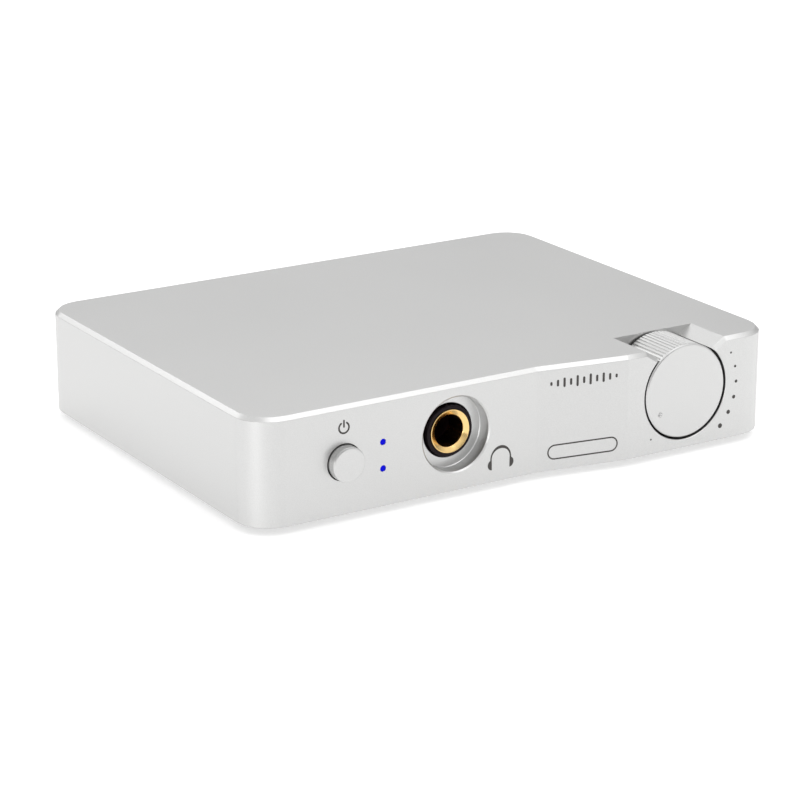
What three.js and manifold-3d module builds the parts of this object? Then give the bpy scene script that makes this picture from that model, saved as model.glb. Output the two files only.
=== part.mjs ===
// Desktop DAC and headphone amplifier: a milled aluminium case with a knurled volume knob, a power
// button, a 6.35 mm headphone jack and two indicator lights in front, and sockets at the back.
// Millimetres, +Z up, the front faces -Y. The origin is at the centre of the footprint, on the floor.
import * as THREE from 'three';
import { mergeVertices } from 'three/addons/utils/BufferGeometryUtils.js';
import Module from 'manifold-3d';

const wasm = await Module();
wasm.setup();

// ---------------------------------------------------------------------------------------------
// Driving dimensions. Inside the case, x runs from its left side, y from its left front face to
// the back and z from its underside.

const CASE = { width: 121, depth: 91.5, height: 22, cornerRadius: 7.2, chamfer: 0.8 };
const STEP = { depth: 3.3, rampStart: 64.2, rampEnd: 84.0 };
const WALL = { front: 4.6, side: 2.4, top: 2.0, innerRadius: 4.8 };
const FOOT = { radius: 4.5, height: 1.5, insetX: 16, insetFront: 15, insetBack: 14 };

const KNOB = { x: 98.6, z: 12.2, radius: 9.9, length: 11.3, teeth: 75, toothDepth: 0.25 };
const WELL = { radius: 10.35, back: 8.5, blockX: 84, blockBack: 10.6 };
const NOTCH = { topHalfWidth: 9.9, slope: 1.55, reachUp: 0.6, reachDown: 2.6, back: 8.45 };
const DIMPLE = { distance: 7.5, angle: -147.4, radius: 0.55 };
const KNOB_CUP = { radius: 7.4, front: 3.4, seatFront: -1, seatRadius: 5 };
const INSERT = { radius: 4.9, boreRadius: 3.1, front: -0.9, back: 3.9 };
const BUSH = { radius: 3.4, front: 5, holeRadius: 3.6 };
const POT = { halfWidth: 5, back: 18, top: 17.6, boreEnd: 14 };
const SHAFT = { radius: 3, front: -0.6, back: 13.5, edge: 0.3 };
const NUT = { radius: 5.1, front: 6.5, holeRadius: 3.5 };

const BUTTON = { x: 19.75, z: 10.65, radius: 3.57, proud: 2.0, stroke: 1.5 };
const BUTTON_FLANGE = { radius: 4.6, thickness: 1.2 };
const PLUNGER = { radius: 1.6, front: 2.0, socketRadius: 2.0 };
const SWITCH = { front: 11.4, back: 20, top: 15, halfWidth: 4.25, boreRadius: 1.9, boreEnd: 17 };
const SPRING = { radius: 2.8, wire: 0.25, turns: 5, gap: 0.1 };
const LIGHT = { x: 28.4, heights: { lower: 7.75, upper: 13.15 }, radius: 0.575, holeRadius: 0.65 };
const LED = { radius: 1.5, front: 5.6, collarRadius: 1.8, collarFront: 8.6, back: 9.4 };
const LED_HOLDER = { halfWidth: 2.3, back: 13, top: 15.4 };

const JACK = {
  x: 45.15,
  z: 11.6,
  recessRadius: 7.65,
  recessRim: 0.3,
  recessDepth: 3.3,
  noseRadius: 5.25,
  noseFace: 2.45,
};
const FERRULE = { outerRadius: 4.47, boreRadius: 3.28, face: 2.2, back: 8, lip: 0.12, dish: 0.5 };
const JACK_BODY = { width: 15.4, top: 18.6, back: 35, boreRadius: 3.4, boreEnd: 33.5 };
const CONTACT_SLOT = { halfWidth: 5.9, front: 14, back: 32.6, halfHeight: 1.2 };
const CONTACT = { strip: 0.35, halfWidth: 0.9, ringBump: 23, tipBump: 29.4 };

const PLATE = { thickness: 1.5, gap: 0.3 };
const BOARD = { bottom: 3.5, thickness: 1.6 };
const BOARD_TOP = BOARD.bottom + BOARD.thickness;
const POST = { frontX: 10, frontLeftY: 12, frontRightY: 19, backX: 12.5, backY: 82, holeEnd: 8 };
const WINDOW = { left: 7.5, top: 20 };
const REAR_PANEL = { front: 88.65, thickness: 2.0, gap: 0.3 };
const REAR_FACE = REAR_PANEL.front + REAR_PANEL.thickness;

const SCREW = { shankRadius: 1.1, headRadius: 2.1, headHeight: 1.2, length: 6, holeRadius: 1.3 };
const SOCKET_HEAD = { radius: 0.85, depth: 0.8 };
const REAR_SCREW = { x: 10, z: 11, holeEnd: 80 };
const PHONO = { z: 12, outerRadius: 4.1, innerRadius: 3.4, pinHole: 1.7, proud: 8, holeRadius: 4.4 };
const PHONO_X = { coax_in: 40, line_out_right: 56, line_out_left: 70 };
const PHONO_FLANGE = { radius: 5.3, thickness: 0.9 };
const PHONO_INSIDE = { front: 86.4, pinHoleEnd: 88 };
const PHONO_BLOCK = { front: 78, back: 86.3, top: 18, margin: 6.4 };
const USB = { x: 23, width: 12, height: 11, wall: 0.5, front: 75, mouth: REAR_FACE + 0.4 };
const USB_TONGUE = { halfWidth: 2.8, halfHeight: 1.6, setBack: 1.2 };
const OPTICAL = { x: 92, width: 9.8, height: 10.2, cavity: 6.4, front: 79, mouth: REAR_FACE + 0.6 };
const SHUTTER = { pivotDrop: 0.5, thickness: 0.7, pinRadius: 0.3, setBack: 0.5, clearance: 0.2 };
const STANDOFF = { radius: 2.5, floor: 0.4, screwLength: 3 };
const CAPACITOR = { radius: 4, height: 11, groove: 0.35, x: 80, rows: [40, 52, 64] };

const REAR_MOST = REAR_FACE + PHONO.proud;
const RUN_CLEARANCE = 0.3;
const SEAT_GAP = 0.05;
const ROUND_SEGMENTS = 32;

// ---------------------------------------------------------------------------------------------
// Materials

function material(color, roughness, metalness) {
  return new THREE.MeshStandardMaterial({ color, roughness, metalness });
}

const anodised = material(0xd9dadb, 0.42, 0.9);
const knobMetal = material(0xdedfe0, 0.36, 0.9);
const gold = material(0xd9ab5a, 0.25, 1.0);
const steel = material(0x9a9c9e, 0.35, 1.0);
const rubber = material(0x232324, 0.9, 0.0);
const blackPlastic = material(0x1d1a1c, 0.5, 0.0);
const whitePlastic = material(0xe8e6e0, 0.5, 0.0);
const redPlastic = material(0xb3231f, 0.5, 0.0);
const orangePlastic = material(0xd9731c, 0.5, 0.0);
const blueGlow = material(0x1b1bff, 0.3, 0.0);
const circuitBoard = material(0x14352a, 0.5, 0.1);
const chipPlastic = material(0x151516, 0.6, 0.0);
const capacitorSleeve = material(0x2a2d4a, 0.4, 0.2);

// ---------------------------------------------------------------------------------------------
// Solids

// Gives a geometry shared corners only, no flat triangles, and faces that point out.
function cleaned(source) {
  const geometry = source.clone();
  geometry.deleteAttribute('normal');
  geometry.deleteAttribute('uv');
  const merged = mergeVertices(geometry, 1e-4);
  const corners = merged.getAttribute('position');
  const index = merged.getIndex().array;
  const kept = [];
  let volume = 0;
  const a = new THREE.Vector3();
  const b = new THREE.Vector3();
  const c = new THREE.Vector3();
  for (let i = 0; i < index.length; i += 3) {
    const [p, q, r] = [index[i], index[i + 1], index[i + 2]];
    if (p === q || q === r || r === p) continue;
    kept.push(p, q, r);
    a.fromBufferAttribute(corners, p);
    b.fromBufferAttribute(corners, q);
    c.fromBufferAttribute(corners, r);
    volume += a.dot(b.cross(c));
  }
  if (volume < 0) kept.reverse();
  merged.setIndex(kept);
  return merged;
}

function solid(geometry) {
  const clean = cleaned(geometry);
  const vertProperties = new Float32Array(clean.getAttribute('position').array);
  const triVerts = new Uint32Array(clean.getIndex().array);
  return new wasm.Manifold(new wasm.Mesh({ numProp: 3, vertProperties, triVerts }));
}

function geometryOf(manifold) {
  const mesh = manifold.getMesh();
  const geometry = new THREE.BufferGeometry();
  geometry.setAttribute('position', new THREE.BufferAttribute(mesh.vertProperties, 3));
  geometry.setIndex(new THREE.BufferAttribute(mesh.triVerts, 1));
  return geometry;
}

function joined(...geometries) {
  return geometryOf(geometries.map(solid).reduce((whole, piece) => whole.add(piece)));
}

function cut(body, ...tools) {
  return geometryOf(tools.map(solid).reduce((rest, tool) => rest.subtract(tool), solid(body)));
}

function common(first, second) {
  return geometryOf(solid(first).intersect(solid(second)));
}

// A box between two corners.
function block([x0, y0, z0], [x1, y1, z1]) {
  const box = new THREE.BoxGeometry(x1 - x0, y1 - y0, z1 - z0);
  return box.translate((x0 + x1) / 2, (y0 + y1) / 2, (z0 + z1) / 2);
}

// A body turned about the Y axis, from [radius, y] points that start and end on the axis.
function turnedAlongY(points, x, z, segments = ROUND_SEGMENTS) {
  const profile = points.map(([radius, y]) => new THREE.Vector2(radius, y));
  return new THREE.LatheGeometry(profile, segments).translate(x, 0, z);
}

// A body turned about the Z axis, from [radius, z] points.
function turnedAlongZ(points, x, y, segments = ROUND_SEGMENTS) {
  const profile = points.map(([radius, z]) => new THREE.Vector2(radius, z));
  return new THREE.LatheGeometry(profile, segments).rotateX(Math.PI / 2).translate(x, y, 0);
}

function rodAlongY(radius, y0, y1, x, z, segments = ROUND_SEGMENTS) {
  return turnedAlongY([[0, y0], [radius, y0], [radius, y1], [0, y1]], x, z, segments);
}

function rodAlongZ(radius, z0, z1, x, y, segments = ROUND_SEGMENTS) {
  return turnedAlongZ([[0, z0], [radius, z0], [radius, z1], [0, z1]], x, y, segments);
}

function tubeAlongY(outer, inner, y0, y1, x, z, segments = ROUND_SEGMENTS) {
  const ring = [[inner, y0], [outer, y0], [outer, y1], [inner, y1], [inner, y0]];
  return turnedAlongY(ring, x, z, segments);
}

// An outline drawn in the XZ plane and pushed from y0 back to y1.
function pushedAlongY(shape, y0, y1, options = {}) {
  const depth = y1 - y0 - 2 * (options.bevelThickness ?? 0);
  const settings = { depth, bevelEnabled: false, curveSegments: ROUND_SEGMENTS, ...options };
  const body = new THREE.ExtrudeGeometry(shape, settings);
  return body.rotateX(Math.PI / 2).translate(0, y1 - (options.bevelThickness ?? 0), 0);
}

function polygon(points) {
  return new THREE.Shape(points.map(([x, y]) => new THREE.Vector2(x, y)));
}

// ---------------------------------------------------------------------------------------------
// Case

// The outline seen from above: four rounded corners, and a front that steps out along a ramp.
function caseOutline() {
  const { width, depth, cornerRadius: r } = CASE;
  const shape = new THREE.Shape();
  shape.moveTo(r, 0);
  shape.lineTo(STEP.rampStart, 0);
  shape.lineTo(STEP.rampEnd, -STEP.depth);
  shape.lineTo(width - r, -STEP.depth);
  shape.absarc(width - r, r - STEP.depth, r, -Math.PI / 2, 0);
  shape.lineTo(width, depth - r);
  shape.absarc(width - r, depth - r, r, 0, Math.PI / 2);
  shape.lineTo(r, depth);
  shape.absarc(r, depth - r, r, Math.PI / 2, Math.PI);
  shape.lineTo(0, r);
  shape.absarc(r, r, r, Math.PI, 1.5 * Math.PI);
  return shape;
}

// The outer body, with its upper edge chamfered: the lower bevel is trimmed off.
function caseOuter() {
  const { width, depth, height, chamfer } = CASE;
  const full = new THREE.ExtrudeGeometry(caseOutline(), {
    depth: height,
    curveSegments: 10,
    bevelThickness: chamfer,
    bevelSize: chamfer,
    bevelOffset: -chamfer,
    bevelSegments: 1,
  }).translate(0, 0, -chamfer);
  const below = block([-1, -STEP.depth - 1, -2 * chamfer], [width + 1, depth + 1, 0]);
  return cut(full, below);
}

function innerOutline() {
  const { side, front, innerRadius: r } = WALL;
  const right = CASE.width - side;
  const back = REAR_PANEL.front - SEAT_GAP;
  const shape = new THREE.Shape();
  shape.moveTo(side + r, front);
  shape.lineTo(right - r, front);
  shape.absarc(right - r, front + r, r, -Math.PI / 2, 0);
  shape.lineTo(right, back - r);
  shape.absarc(right - r, back - r, r, 0, Math.PI / 2);
  shape.lineTo(side + r, back);
  shape.absarc(side + r, back - r, r, Math.PI / 2, Math.PI);
  shape.lineTo(side, front + r);
  shape.absarc(side + r, front + r, r, Math.PI, 1.5 * Math.PI);
  return shape;
}

// The milled inside: everything but the screw posts and the block that holds the knob's well.
function caseCavity() {
  const top = CASE.height - WALL.top;
  const postTop = CASE.height;
  const cavity = new THREE.ExtrudeGeometry(innerOutline(), {
    depth: top + 1,
    curveSegments: 6,
    bevelEnabled: false,
  }).translate(0, 0, -1);
  const foot = PLATE.thickness + SEAT_GAP;
  const knobBlock = block([WELL.blockX, 0, -2], [CASE.width, WELL.blockBack, postTop]);
  const frontPost = block([0, 0, foot], [POST.frontX, POST.frontLeftY, postTop]);
  const leftPost = block([0, POST.backY, foot], [POST.backX, CASE.depth, postTop]);
  const rightPost = block([CASE.width - POST.backX, POST.backY, foot], [CASE.width, CASE.depth, postTop]);
  const rightSide = CASE.width - POST.frontX;
  const frontRightPost = block([rightSide, 0, foot], [CASE.width, POST.frontRightY, postTop]);
  return cut(cavity, knobBlock, frontPost, leftPost, rightPost, frontRightPost);
}

// The scoop over the knob: it narrows downwards, and its front edges are chamfered like the top's.
function notchTool() {
  const { topHalfWidth, slope, reachUp, reachDown, back } = NOTCH;
  const chamfer = CASE.chamfer;
  const halfHigh = topHalfWidth + slope * reachUp;
  const halfLow = topHalfWidth - slope * reachDown;
  const high = CASE.height + reachUp;
  const low = CASE.height - reachDown;
  const shape = polygon([
    [KNOB.x - halfHigh, high],
    [KNOB.x + halfHigh, high],
    [KNOB.x + halfLow, low],
    [KNOB.x - halfLow, low],
  ]);
  const flared = pushedAlongY(shape, -STEP.depth - 0.02, back + 4, {
    bevelEnabled: true,
    bevelThickness: chamfer,
    bevelSize: -chamfer,
    bevelOffset: chamfer,
    bevelSegments: 1,
  });
  const reach = block([80, -STEP.depth - 1, 15], [CASE.width, back, CASE.height + 2]);
  return common(flared, reach);
}

function screwPlaces() {
  return {
    front_left: [6.6, 8.8],
    front_right: [CASE.width - 6, 14.6],
    back_left: [7.4, 84.6],
    back_right: [CASE.width - 7.4, 84.6],
  };
}

function rearScrewPlaces() {
  return { left: REAR_SCREW.x, right: CASE.width - REAR_SCREW.x };
}

function caseShell() {
  const { recessRadius, recessRim, recessDepth } = JACK;
  const windowFront = REAR_PANEL.front - 2 * SEAT_GAP;
  const tools = [
    caseCavity(),
    block([WINDOW.left, windowFront, -1], [CASE.width - WINDOW.left, CASE.depth + 1, WINDOW.top]),
    notchTool(),
    rodAlongY(WELL.radius, -STEP.depth - 1, WELL.back, KNOB.x, KNOB.z, 64),
    rodAlongY(BUSH.holeRadius, 0, WELL.blockBack + 1, KNOB.x, KNOB.z),
    rodAlongY(BUTTON.radius + 0.15, -1, WALL.front + 1, BUTTON.x, BUTTON.z),
    turnedAlongY(
      [
        [0, -1],
        [recessRadius + recessRim + 1, -1],
        [recessRadius, recessRim],
        [recessRadius, recessDepth],
        [0, recessDepth],
      ],
      JACK.x,
      JACK.z,
      56,
    ),
    rodAlongY(JACK.noseRadius + RUN_CLEARANCE, -1, WALL.front + 1, JACK.x, JACK.z, 48),
  ];
  for (const z of Object.values(LIGHT.heights)) {
    tools.push(rodAlongY(LIGHT.holeRadius, -1, WALL.front + 1, LIGHT.x, z, 16));
  }
  for (const [x, y] of Object.values(screwPlaces())) {
    tools.push(rodAlongZ(SCREW.holeRadius, -1, POST.holeEnd, x, y, 16));
  }
  for (const x of Object.values(rearScrewPlaces())) {
    tools.push(rodAlongY(SCREW.holeRadius, REAR_SCREW.holeEnd, CASE.depth, x, REAR_SCREW.z, 16));
  }
  return cut(caseOuter(), ...tools);
}

// The plate that closes the underside. It goes round the block under the knob.
function bottomPlate() {
  const { side, front, innerRadius } = WALL;
  const gap = PLATE.gap;
  const left = side + gap;
  const right = CASE.width - side - gap;
  const near = front + gap;
  const back = REAR_PANEL.front - gap;
  const r = innerRadius - gap;
  const shape = new THREE.Shape();
  shape.moveTo(left + r, near);
  shape.lineTo(WELL.blockX - gap, near);
  shape.lineTo(WELL.blockX - gap, WELL.blockBack + gap);
  shape.lineTo(right, WELL.blockBack + gap);
  shape.lineTo(right, back - r);
  shape.absarc(right - r, back - r, r, 0, Math.PI / 2);
  shape.lineTo(left + r, back);
  shape.absarc(left + r, back - r, r, Math.PI / 2, Math.PI);
  shape.lineTo(left, near + r);
  shape.absarc(left + r, near + r, r, Math.PI, 1.5 * Math.PI);
  const sheet = new THREE.ExtrudeGeometry(shape, {
    depth: PLATE.thickness,
    curveSegments: 6,
    bevelEnabled: false,
  });
  const sinks = Object.values(screwPlaces()).map(([x, y]) => screwSink(x, y));
  return cut(sheet, ...sinks);
}

// The countersunk hole for a screw that comes from below.
function screwSink(x, y) {
  const { headRadius, headHeight, holeRadius } = SCREW;
  const wide = headRadius + 0.3;
  const points = [[0, -1], [wide, -1], [wide, 0.1], [holeRadius, headHeight], [holeRadius, 3], [0, 3]];
  return turnedAlongZ(points, x, y, 16);
}

// A countersunk screw with a hexagon socket. Its head's face is at the origin, its shank along +Z.
function countersunkScrew(length) {
  const { headRadius, headHeight, shankRadius } = SCREW;
  const points = [
    [0, 0.1],
    [headRadius, 0.1],
    [shankRadius, headHeight],
    [shankRadius, length],
    [0, length],
  ];
  const body = turnedAlongZ(points, 0, 0, 12);
  return cut(body, rodAlongZ(SOCKET_HEAD.radius, -1, SOCKET_HEAD.depth, 0, 0, 6));
}

// A pan-head screw with a hexagon socket. Its head stands below the origin, its shank along +Z.
function panScrew(length) {
  const { headRadius, headHeight, shankRadius } = SCREW;
  const points = [
    [0, -headHeight],
    [headRadius, -headHeight],
    [headRadius, 0],
    [shankRadius, 0],
    [shankRadius, length],
    [0, length],
  ];
  const body = turnedAlongZ(points, 0, 0, 12);
  const socketEnd = SOCKET_HEAD.depth - headHeight;
  return cut(body, rodAlongZ(SOCKET_HEAD.radius, -headHeight - 1, socketEnd, 0, 0, 6));
}

function rearPanel() {
  const { front, gap } = REAR_PANEL;
  const left = WINDOW.left + gap;
  const sheet = block([left, front, gap], [CASE.width - left, REAR_FACE, WINDOW.top - gap]);
  const from = front - 1;
  const to = REAR_FACE + 1;
  const tools = [];
  for (const x of Object.values(PHONO_X)) {
    tools.push(rodAlongY(PHONO.holeRadius, from, to, x, PHONO.z, 24));
  }
  for (const x of Object.values(rearScrewPlaces())) {
    tools.push(rodAlongY(SCREW.holeRadius, from, to, x, REAR_SCREW.z, 16));
  }
  for (const { x, width, height } of [USB, OPTICAL]) {
    const half = width / 2 + gap;
    tools.push(block([x - half, from, BOARD_TOP - gap], [x + half, to, BOARD_TOP + height + gap]));
  }
  return cut(sheet, ...tools);
}

function foot() {
  const { radius, height } = FOOT;
  const points = [[0, 0], [radius - 0.3, 0], [radius, 0.3], [radius, height], [0, height]];
  return turnedAlongZ(points, 0, 0, 28);
}

function feetPlaces() {
  const { insetX, insetFront, insetBack } = FOOT;
  const right = CASE.width - insetX;
  const back = CASE.depth - insetBack;
  return {
    front_left: [insetX, insetFront],
    front_right: [right, insetFront + 5],
    back_left: [insetX, back],
    back_right: [right, back],
  };
}

// ---------------------------------------------------------------------------------------------
// Board

// The board fills the inside and steps back round the posts and the knob's block.
function mainBoard() {
  const gap = 0.8;
  const left = WALL.side + gap;
  const right = CASE.width - left;
  const near = WALL.front + gap;
  const back = REAR_PANEL.front - gap;
  const behindBlock = WELL.blockBack + gap;
  const postBack = POST.backY - gap;
  const postSide = POST.backX + gap;
  const frontPost = POST.frontRightY + gap;
  const shape = polygon([
    [POST.frontX + gap, near],
    [WELL.blockX - gap, near],
    [WELL.blockX - gap, behindBlock],
    [CASE.width - POST.frontX - gap, behindBlock],
    [CASE.width - POST.frontX - gap, frontPost],
    [right, frontPost],
    [right, postBack],
    [CASE.width - postSide, postBack],
    [CASE.width - postSide, back],
    [postSide, back],
    [postSide, postBack],
    [left, postBack],
    [left, POST.frontLeftY + gap],
    [POST.frontX + gap, POST.frontLeftY + gap],
  ]);
  const sheet = new THREE.ExtrudeGeometry(shape, { depth: BOARD.thickness, bevelEnabled: false });
  const holes = standoffPlaces().map(([x, y]) => rodAlongZ(SCREW.holeRadius, 0, 9, x, y, 12));
  return cut(sheet.translate(0, 0, BOARD.bottom), ...holes);
}

function standoffPlaces() {
  return [
    [8, 22],
    [CASE.width - 8, 26],
    [8, 72],
    [CASE.width - 8, 72],
  ];
}

// A brass spacer between the bottom plate and the board, open at the top for its screw.
function standoff() {
  const low = PLATE.thickness + SEAT_GAP;
  const high = BOARD.bottom - SEAT_GAP;
  const post = rodAlongZ(STANDOFF.radius, low, high, 0, 0, 6);
  return cut(post, rodAlongZ(SCREW.holeRadius, low + STANDOFF.floor, high + 1, 0, 0, 16));
}

function chip(x, y, width, length, height) {
  const low = BOARD_TOP + SEAT_GAP;
  const bevel = { bevelThickness: 0.2, bevelSize: 0.2, bevelOffset: -0.2, bevelSegments: 1 };
  const half = [width / 2, length / 2];
  const outline = polygon([
    [-half[0], -half[1]],
    [half[0], -half[1]],
    [half[0], half[1]],
    [-half[0], half[1]],
  ]);
  const body = new THREE.ExtrudeGeometry(outline, { depth: height - 0.4, ...bevel });
  return body.translate(x, y, low + 0.2);
}

// An electrolytic capacitor: a can with a rolled groove above its foot.
function capacitor() {
  const { radius, height, groove } = CAPACITOR;
  const low = BOARD_TOP + SEAT_GAP;
  const high = low + height;
  const points = [
    [0, low],
    [radius, low],
    [radius, low + 1.2],
    [radius - groove, low + 1.6],
    [radius, low + 2.0],
    [radius, high - 0.4],
    [radius - 0.4, high],
    [0, high],
  ];
  return turnedAlongZ(points, 0, 0, 16);
}

// ---------------------------------------------------------------------------------------------
// Volume control

// The knurl: straight teeth all round.
function knurlOutline() {
  const points = [];
  for (let i = 0; i < 2 * KNOB.teeth; i += 1) {
    const angle = (Math.PI * i) / KNOB.teeth;
    const radius = i % 2 === 0 ? KNOB.radius : KNOB.radius - KNOB.toothDepth;
    points.push([KNOB.x + radius * Math.cos(angle), KNOB.z + radius * Math.sin(angle)]);
  }
  return polygon(points);
}

// The knob: a knurled cup that is open behind, with a plain rim in front and a pointer dimple.
function volumeKnob() {
  const face = -STEP.depth;
  const rim = 0.9;
  const edge = 0.25;
  const knurl = pushedAlongY(knurlOutline(), face + rim - 0.2, face + KNOB.length);
  const root = KNOB.radius - KNOB.toothDepth;
  const plain = turnedAlongY(
    [
      [0, face],
      [KNOB.radius - edge, face],
      [KNOB.radius, face + edge],
      [KNOB.radius, face + rim - 0.3],
      [root, face + rim],
      [0, face + rim],
    ],
    KNOB.x,
    KNOB.z,
    72,
  );
  const { radius, front: cupFront, seatFront, seatRadius } = KNOB_CUP;
  const cup = rodAlongY(radius, cupFront, face + KNOB.length + 1, KNOB.x, KNOB.z);
  const seat = rodAlongY(seatRadius, seatFront, cupFront + 1, KNOB.x, KNOB.z, 32);
  const turn = THREE.MathUtils.degToRad(DIMPLE.angle);
  const dimpleX = KNOB.x + DIMPLE.distance * Math.cos(turn);
  const dimpleZ = KNOB.z + DIMPLE.distance * Math.sin(turn);
  const dimple = new THREE.SphereGeometry(DIMPLE.radius, 16, 8);
  dimple.translate(dimpleX, face - DIMPLE.radius * 0.4, dimpleZ);
  return cut(joined(knurl, plain), cup, seat, dimple);
}

// The brass insert in the knob, bored for the shaft.
function knobInsert() {
  const { radius, boreRadius, front, back } = INSERT;
  return tubeAlongY(radius, boreRadius, front, back, KNOB.x, KNOB.z, 32);
}

function potBody() {
  const { halfWidth, back, top, boreEnd } = POT;
  const front = WELL.blockBack + RUN_CLEARANCE;
  const low = BOARD_TOP + SEAT_GAP;
  const housing = block([KNOB.x - halfWidth, front, low], [KNOB.x + halfWidth, back, top]);
  const bushing = rodAlongY(BUSH.radius, BUSH.front, front + 1, KNOB.x, KNOB.z);
  const bore = rodAlongY(SHAFT.radius + 0.1, BUSH.front - 1, boreEnd, KNOB.x, KNOB.z, 32);
  return cut(joined(housing, bushing), bore);
}

function potShaft() {
  const { radius, front, back, edge } = SHAFT;
  const points = [[0, front], [radius - edge, front], [radius, front + edge], [radius, back], [0, back]];
  return turnedAlongY(points, KNOB.x, KNOB.z, 32);
}

function potNut() {
  const nut = rodAlongY(NUT.radius, NUT.front, WELL.back - SEAT_GAP, KNOB.x, KNOB.z, 6);
  return cut(nut, rodAlongY(NUT.holeRadius, NUT.front - 1, WELL.back + 1, KNOB.x, KNOB.z));
}

// ---------------------------------------------------------------------------------------------
// Power button and lights

// The button: a turned cap with a flange that keeps it in the case and a socket for the plunger.
function powerButton() {
  const { radius, proud, x, z } = BUTTON;
  const edge = 0.25;
  const behindWall = WALL.front + RUN_CLEARANCE;
  const flangeBack = behindWall + BUTTON_FLANGE.thickness;
  const points = [
    [0, -proud],
    [radius - edge, -proud],
    [radius, edge - proud],
    [radius, behindWall],
    [BUTTON_FLANGE.radius, behindWall],
    [BUTTON_FLANGE.radius, flangeBack],
    [PLUNGER.socketRadius, flangeBack],
    [PLUNGER.socketRadius, PLUNGER.front],
    [0, PLUNGER.front],
  ];
  return turnedAlongY(points, x, z, 44);
}

// The plunger ends short of the switch's bore by more than the button's stroke.
function switchPlunger() {
  const tail = SWITCH.boreEnd - BUTTON.stroke - 2;
  return rodAlongY(PLUNGER.radius, PLUNGER.front + SEAT_GAP, tail, BUTTON.x, BUTTON.z, 16);
}

function switchBody() {
  const { front, back, top, halfWidth, boreRadius, boreEnd } = SWITCH;
  const { x, z } = BUTTON;
  const housing = block([x - halfWidth, front, BOARD_TOP + SEAT_GAP], [x + halfWidth, back, top]);
  return cut(housing, rodAlongY(boreRadius, front - 1, boreEnd, x, z, 24));
}

class Helix extends THREE.Curve {
  constructor(radius, length, turns) {
    super();
    Object.assign(this, { radius, length, turns });
  }

  getPoint(t, target = new THREE.Vector3()) {
    const angle = 2 * Math.PI * this.turns * t;
    return target.set(this.radius * Math.cos(angle), this.length * t, this.radius * Math.sin(angle));
  }
}

// The coil spring round the plunger, between the button's flange and the switch.
function switchSpring() {
  const { radius, wire, turns, gap } = SPRING;
  const low = WALL.front + RUN_CLEARANCE + BUTTON_FLANGE.thickness + gap + wire;
  const high = SWITCH.front - gap - wire;
  const section = new THREE.Shape().absarc(0, 0, wire, 0, 2 * Math.PI);
  const coil = new THREE.ExtrudeGeometry(section, {
    extrudePath: new Helix(radius, high - low, turns),
    steps: 50,
    curveSegments: 2,
    bevelEnabled: false,
  });
  return coil.translate(BUTTON.x, low, BUTTON.z);
}

function lightPipe(z) {
  const { x, radius } = LIGHT;
  const collar = { radius: 1.2, thickness: 0.6 };
  const behindWall = WALL.front + 2 * SEAT_GAP;
  const points = [
    [0, 0],
    [radius, 0],
    [radius, behindWall],
    [collar.radius, behindWall],
    [collar.radius, behindWall + collar.thickness],
    [0, behindWall + collar.thickness],
  ];
  return turnedAlongY(points, x, z, 12);
}

// A 3 mm LED: a dome in front, a collar behind.
function led(z) {
  const { radius, front, collarRadius, collarFront, back } = LED;
  const dome = new THREE.Path().absarc(0, front + radius, radius, -Math.PI / 2, 0);
  const rounded = dome.getPoints(3).map((point) => [Math.max(point.x, 0), point.y]);
  const collar = [[radius, collarFront], [collarRadius, collarFront], [collarRadius, back], [0, back]];
  return turnedAlongY([...rounded, ...collar], LIGHT.x, z, 12);
}

function ledHolder() {
  const { halfWidth, back, top } = LED_HOLDER;
  const near = [LIGHT.x - halfWidth, LED.back + SEAT_GAP, BOARD_TOP + SEAT_GAP];
  return block(near, [LIGHT.x + halfWidth, back, top]);
}

// ---------------------------------------------------------------------------------------------
// Headphone jack

// The moulded body: a round nose in front, a box behind, a blind bore and a slot on each side
// of it for a contact spring.
function jackBody() {
  const { x, z, noseRadius, noseFace } = JACK;
  const { width, top, back, boreRadius, boreEnd } = JACK_BODY;
  const shoulder = WALL.front + SEAT_GAP;
  const box = block([x - width / 2, shoulder, BOARD_TOP + SEAT_GAP], [x + width / 2, back, top]);
  const edge = 0.2;
  const nosePoints = [
    [0, noseFace],
    [noseRadius - edge, noseFace],
    [noseRadius, noseFace + edge],
    [noseRadius, shoulder + 1],
    [0, shoulder + 1],
  ];
  const nose = turnedAlongY(nosePoints, x, z, 48);
  const seat = rodAlongY(FERRULE.outerRadius + SEAT_GAP, 0, FERRULE.back + SEAT_GAP, x, z, 48);
  const bore = rodAlongY(boreRadius, 0, boreEnd, x, z, 32);
  const { halfWidth, front, back: slotBack, halfHeight } = CONTACT_SLOT;
  const slots = block([x - halfWidth, front, z - halfHeight], [x + halfWidth, slotBack, z + halfHeight]);
  return cut(joined(box, nose), seat, bore, slots);
}

// The gold bush: a narrow lip round a wide shallow dish that leads the plug in, and a tube behind.
function jackFerrule() {
  const { outerRadius, boreRadius, face, back, lip, dish } = FERRULE;
  const ring = [
    [boreRadius, face + dish],
    [outerRadius - 2 * lip, face],
    [outerRadius - lip, face],
    [outerRadius, face + lip],
    [outerRadius, back],
    [boreRadius, back],
    [boreRadius, face + dish],
  ];
  return turnedAlongY(ring, JACK.x, JACK.z, 48);
}

// A leaf spring bent from strip. Side is -1 for the left one and 1 for the right one, and bump is
// how deep in the bore it presses on the plug.
function jackContact(side, bump) {
  const { strip, halfWidth } = CONTACT;
  const outer = [
    [5.6, 14.4],
    [5.6, 16.5],
    [4.4, bump - 3],
    [2.75, bump],
    [3.4, bump + 2.2],
  ];
  const inner = outer.map(([offset, y]) => [offset - strip, y]).reverse();
  const shape = polygon([...outer, ...inner].map(([offset, y]) => [JACK.x + side * offset, y]));
  const leaf = new THREE.ExtrudeGeometry(shape, { depth: 2 * halfWidth, bevelEnabled: false });
  return leaf.translate(0, 0, JACK.z - halfWidth);
}

// ---------------------------------------------------------------------------------------------
// Sockets at the back

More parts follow.
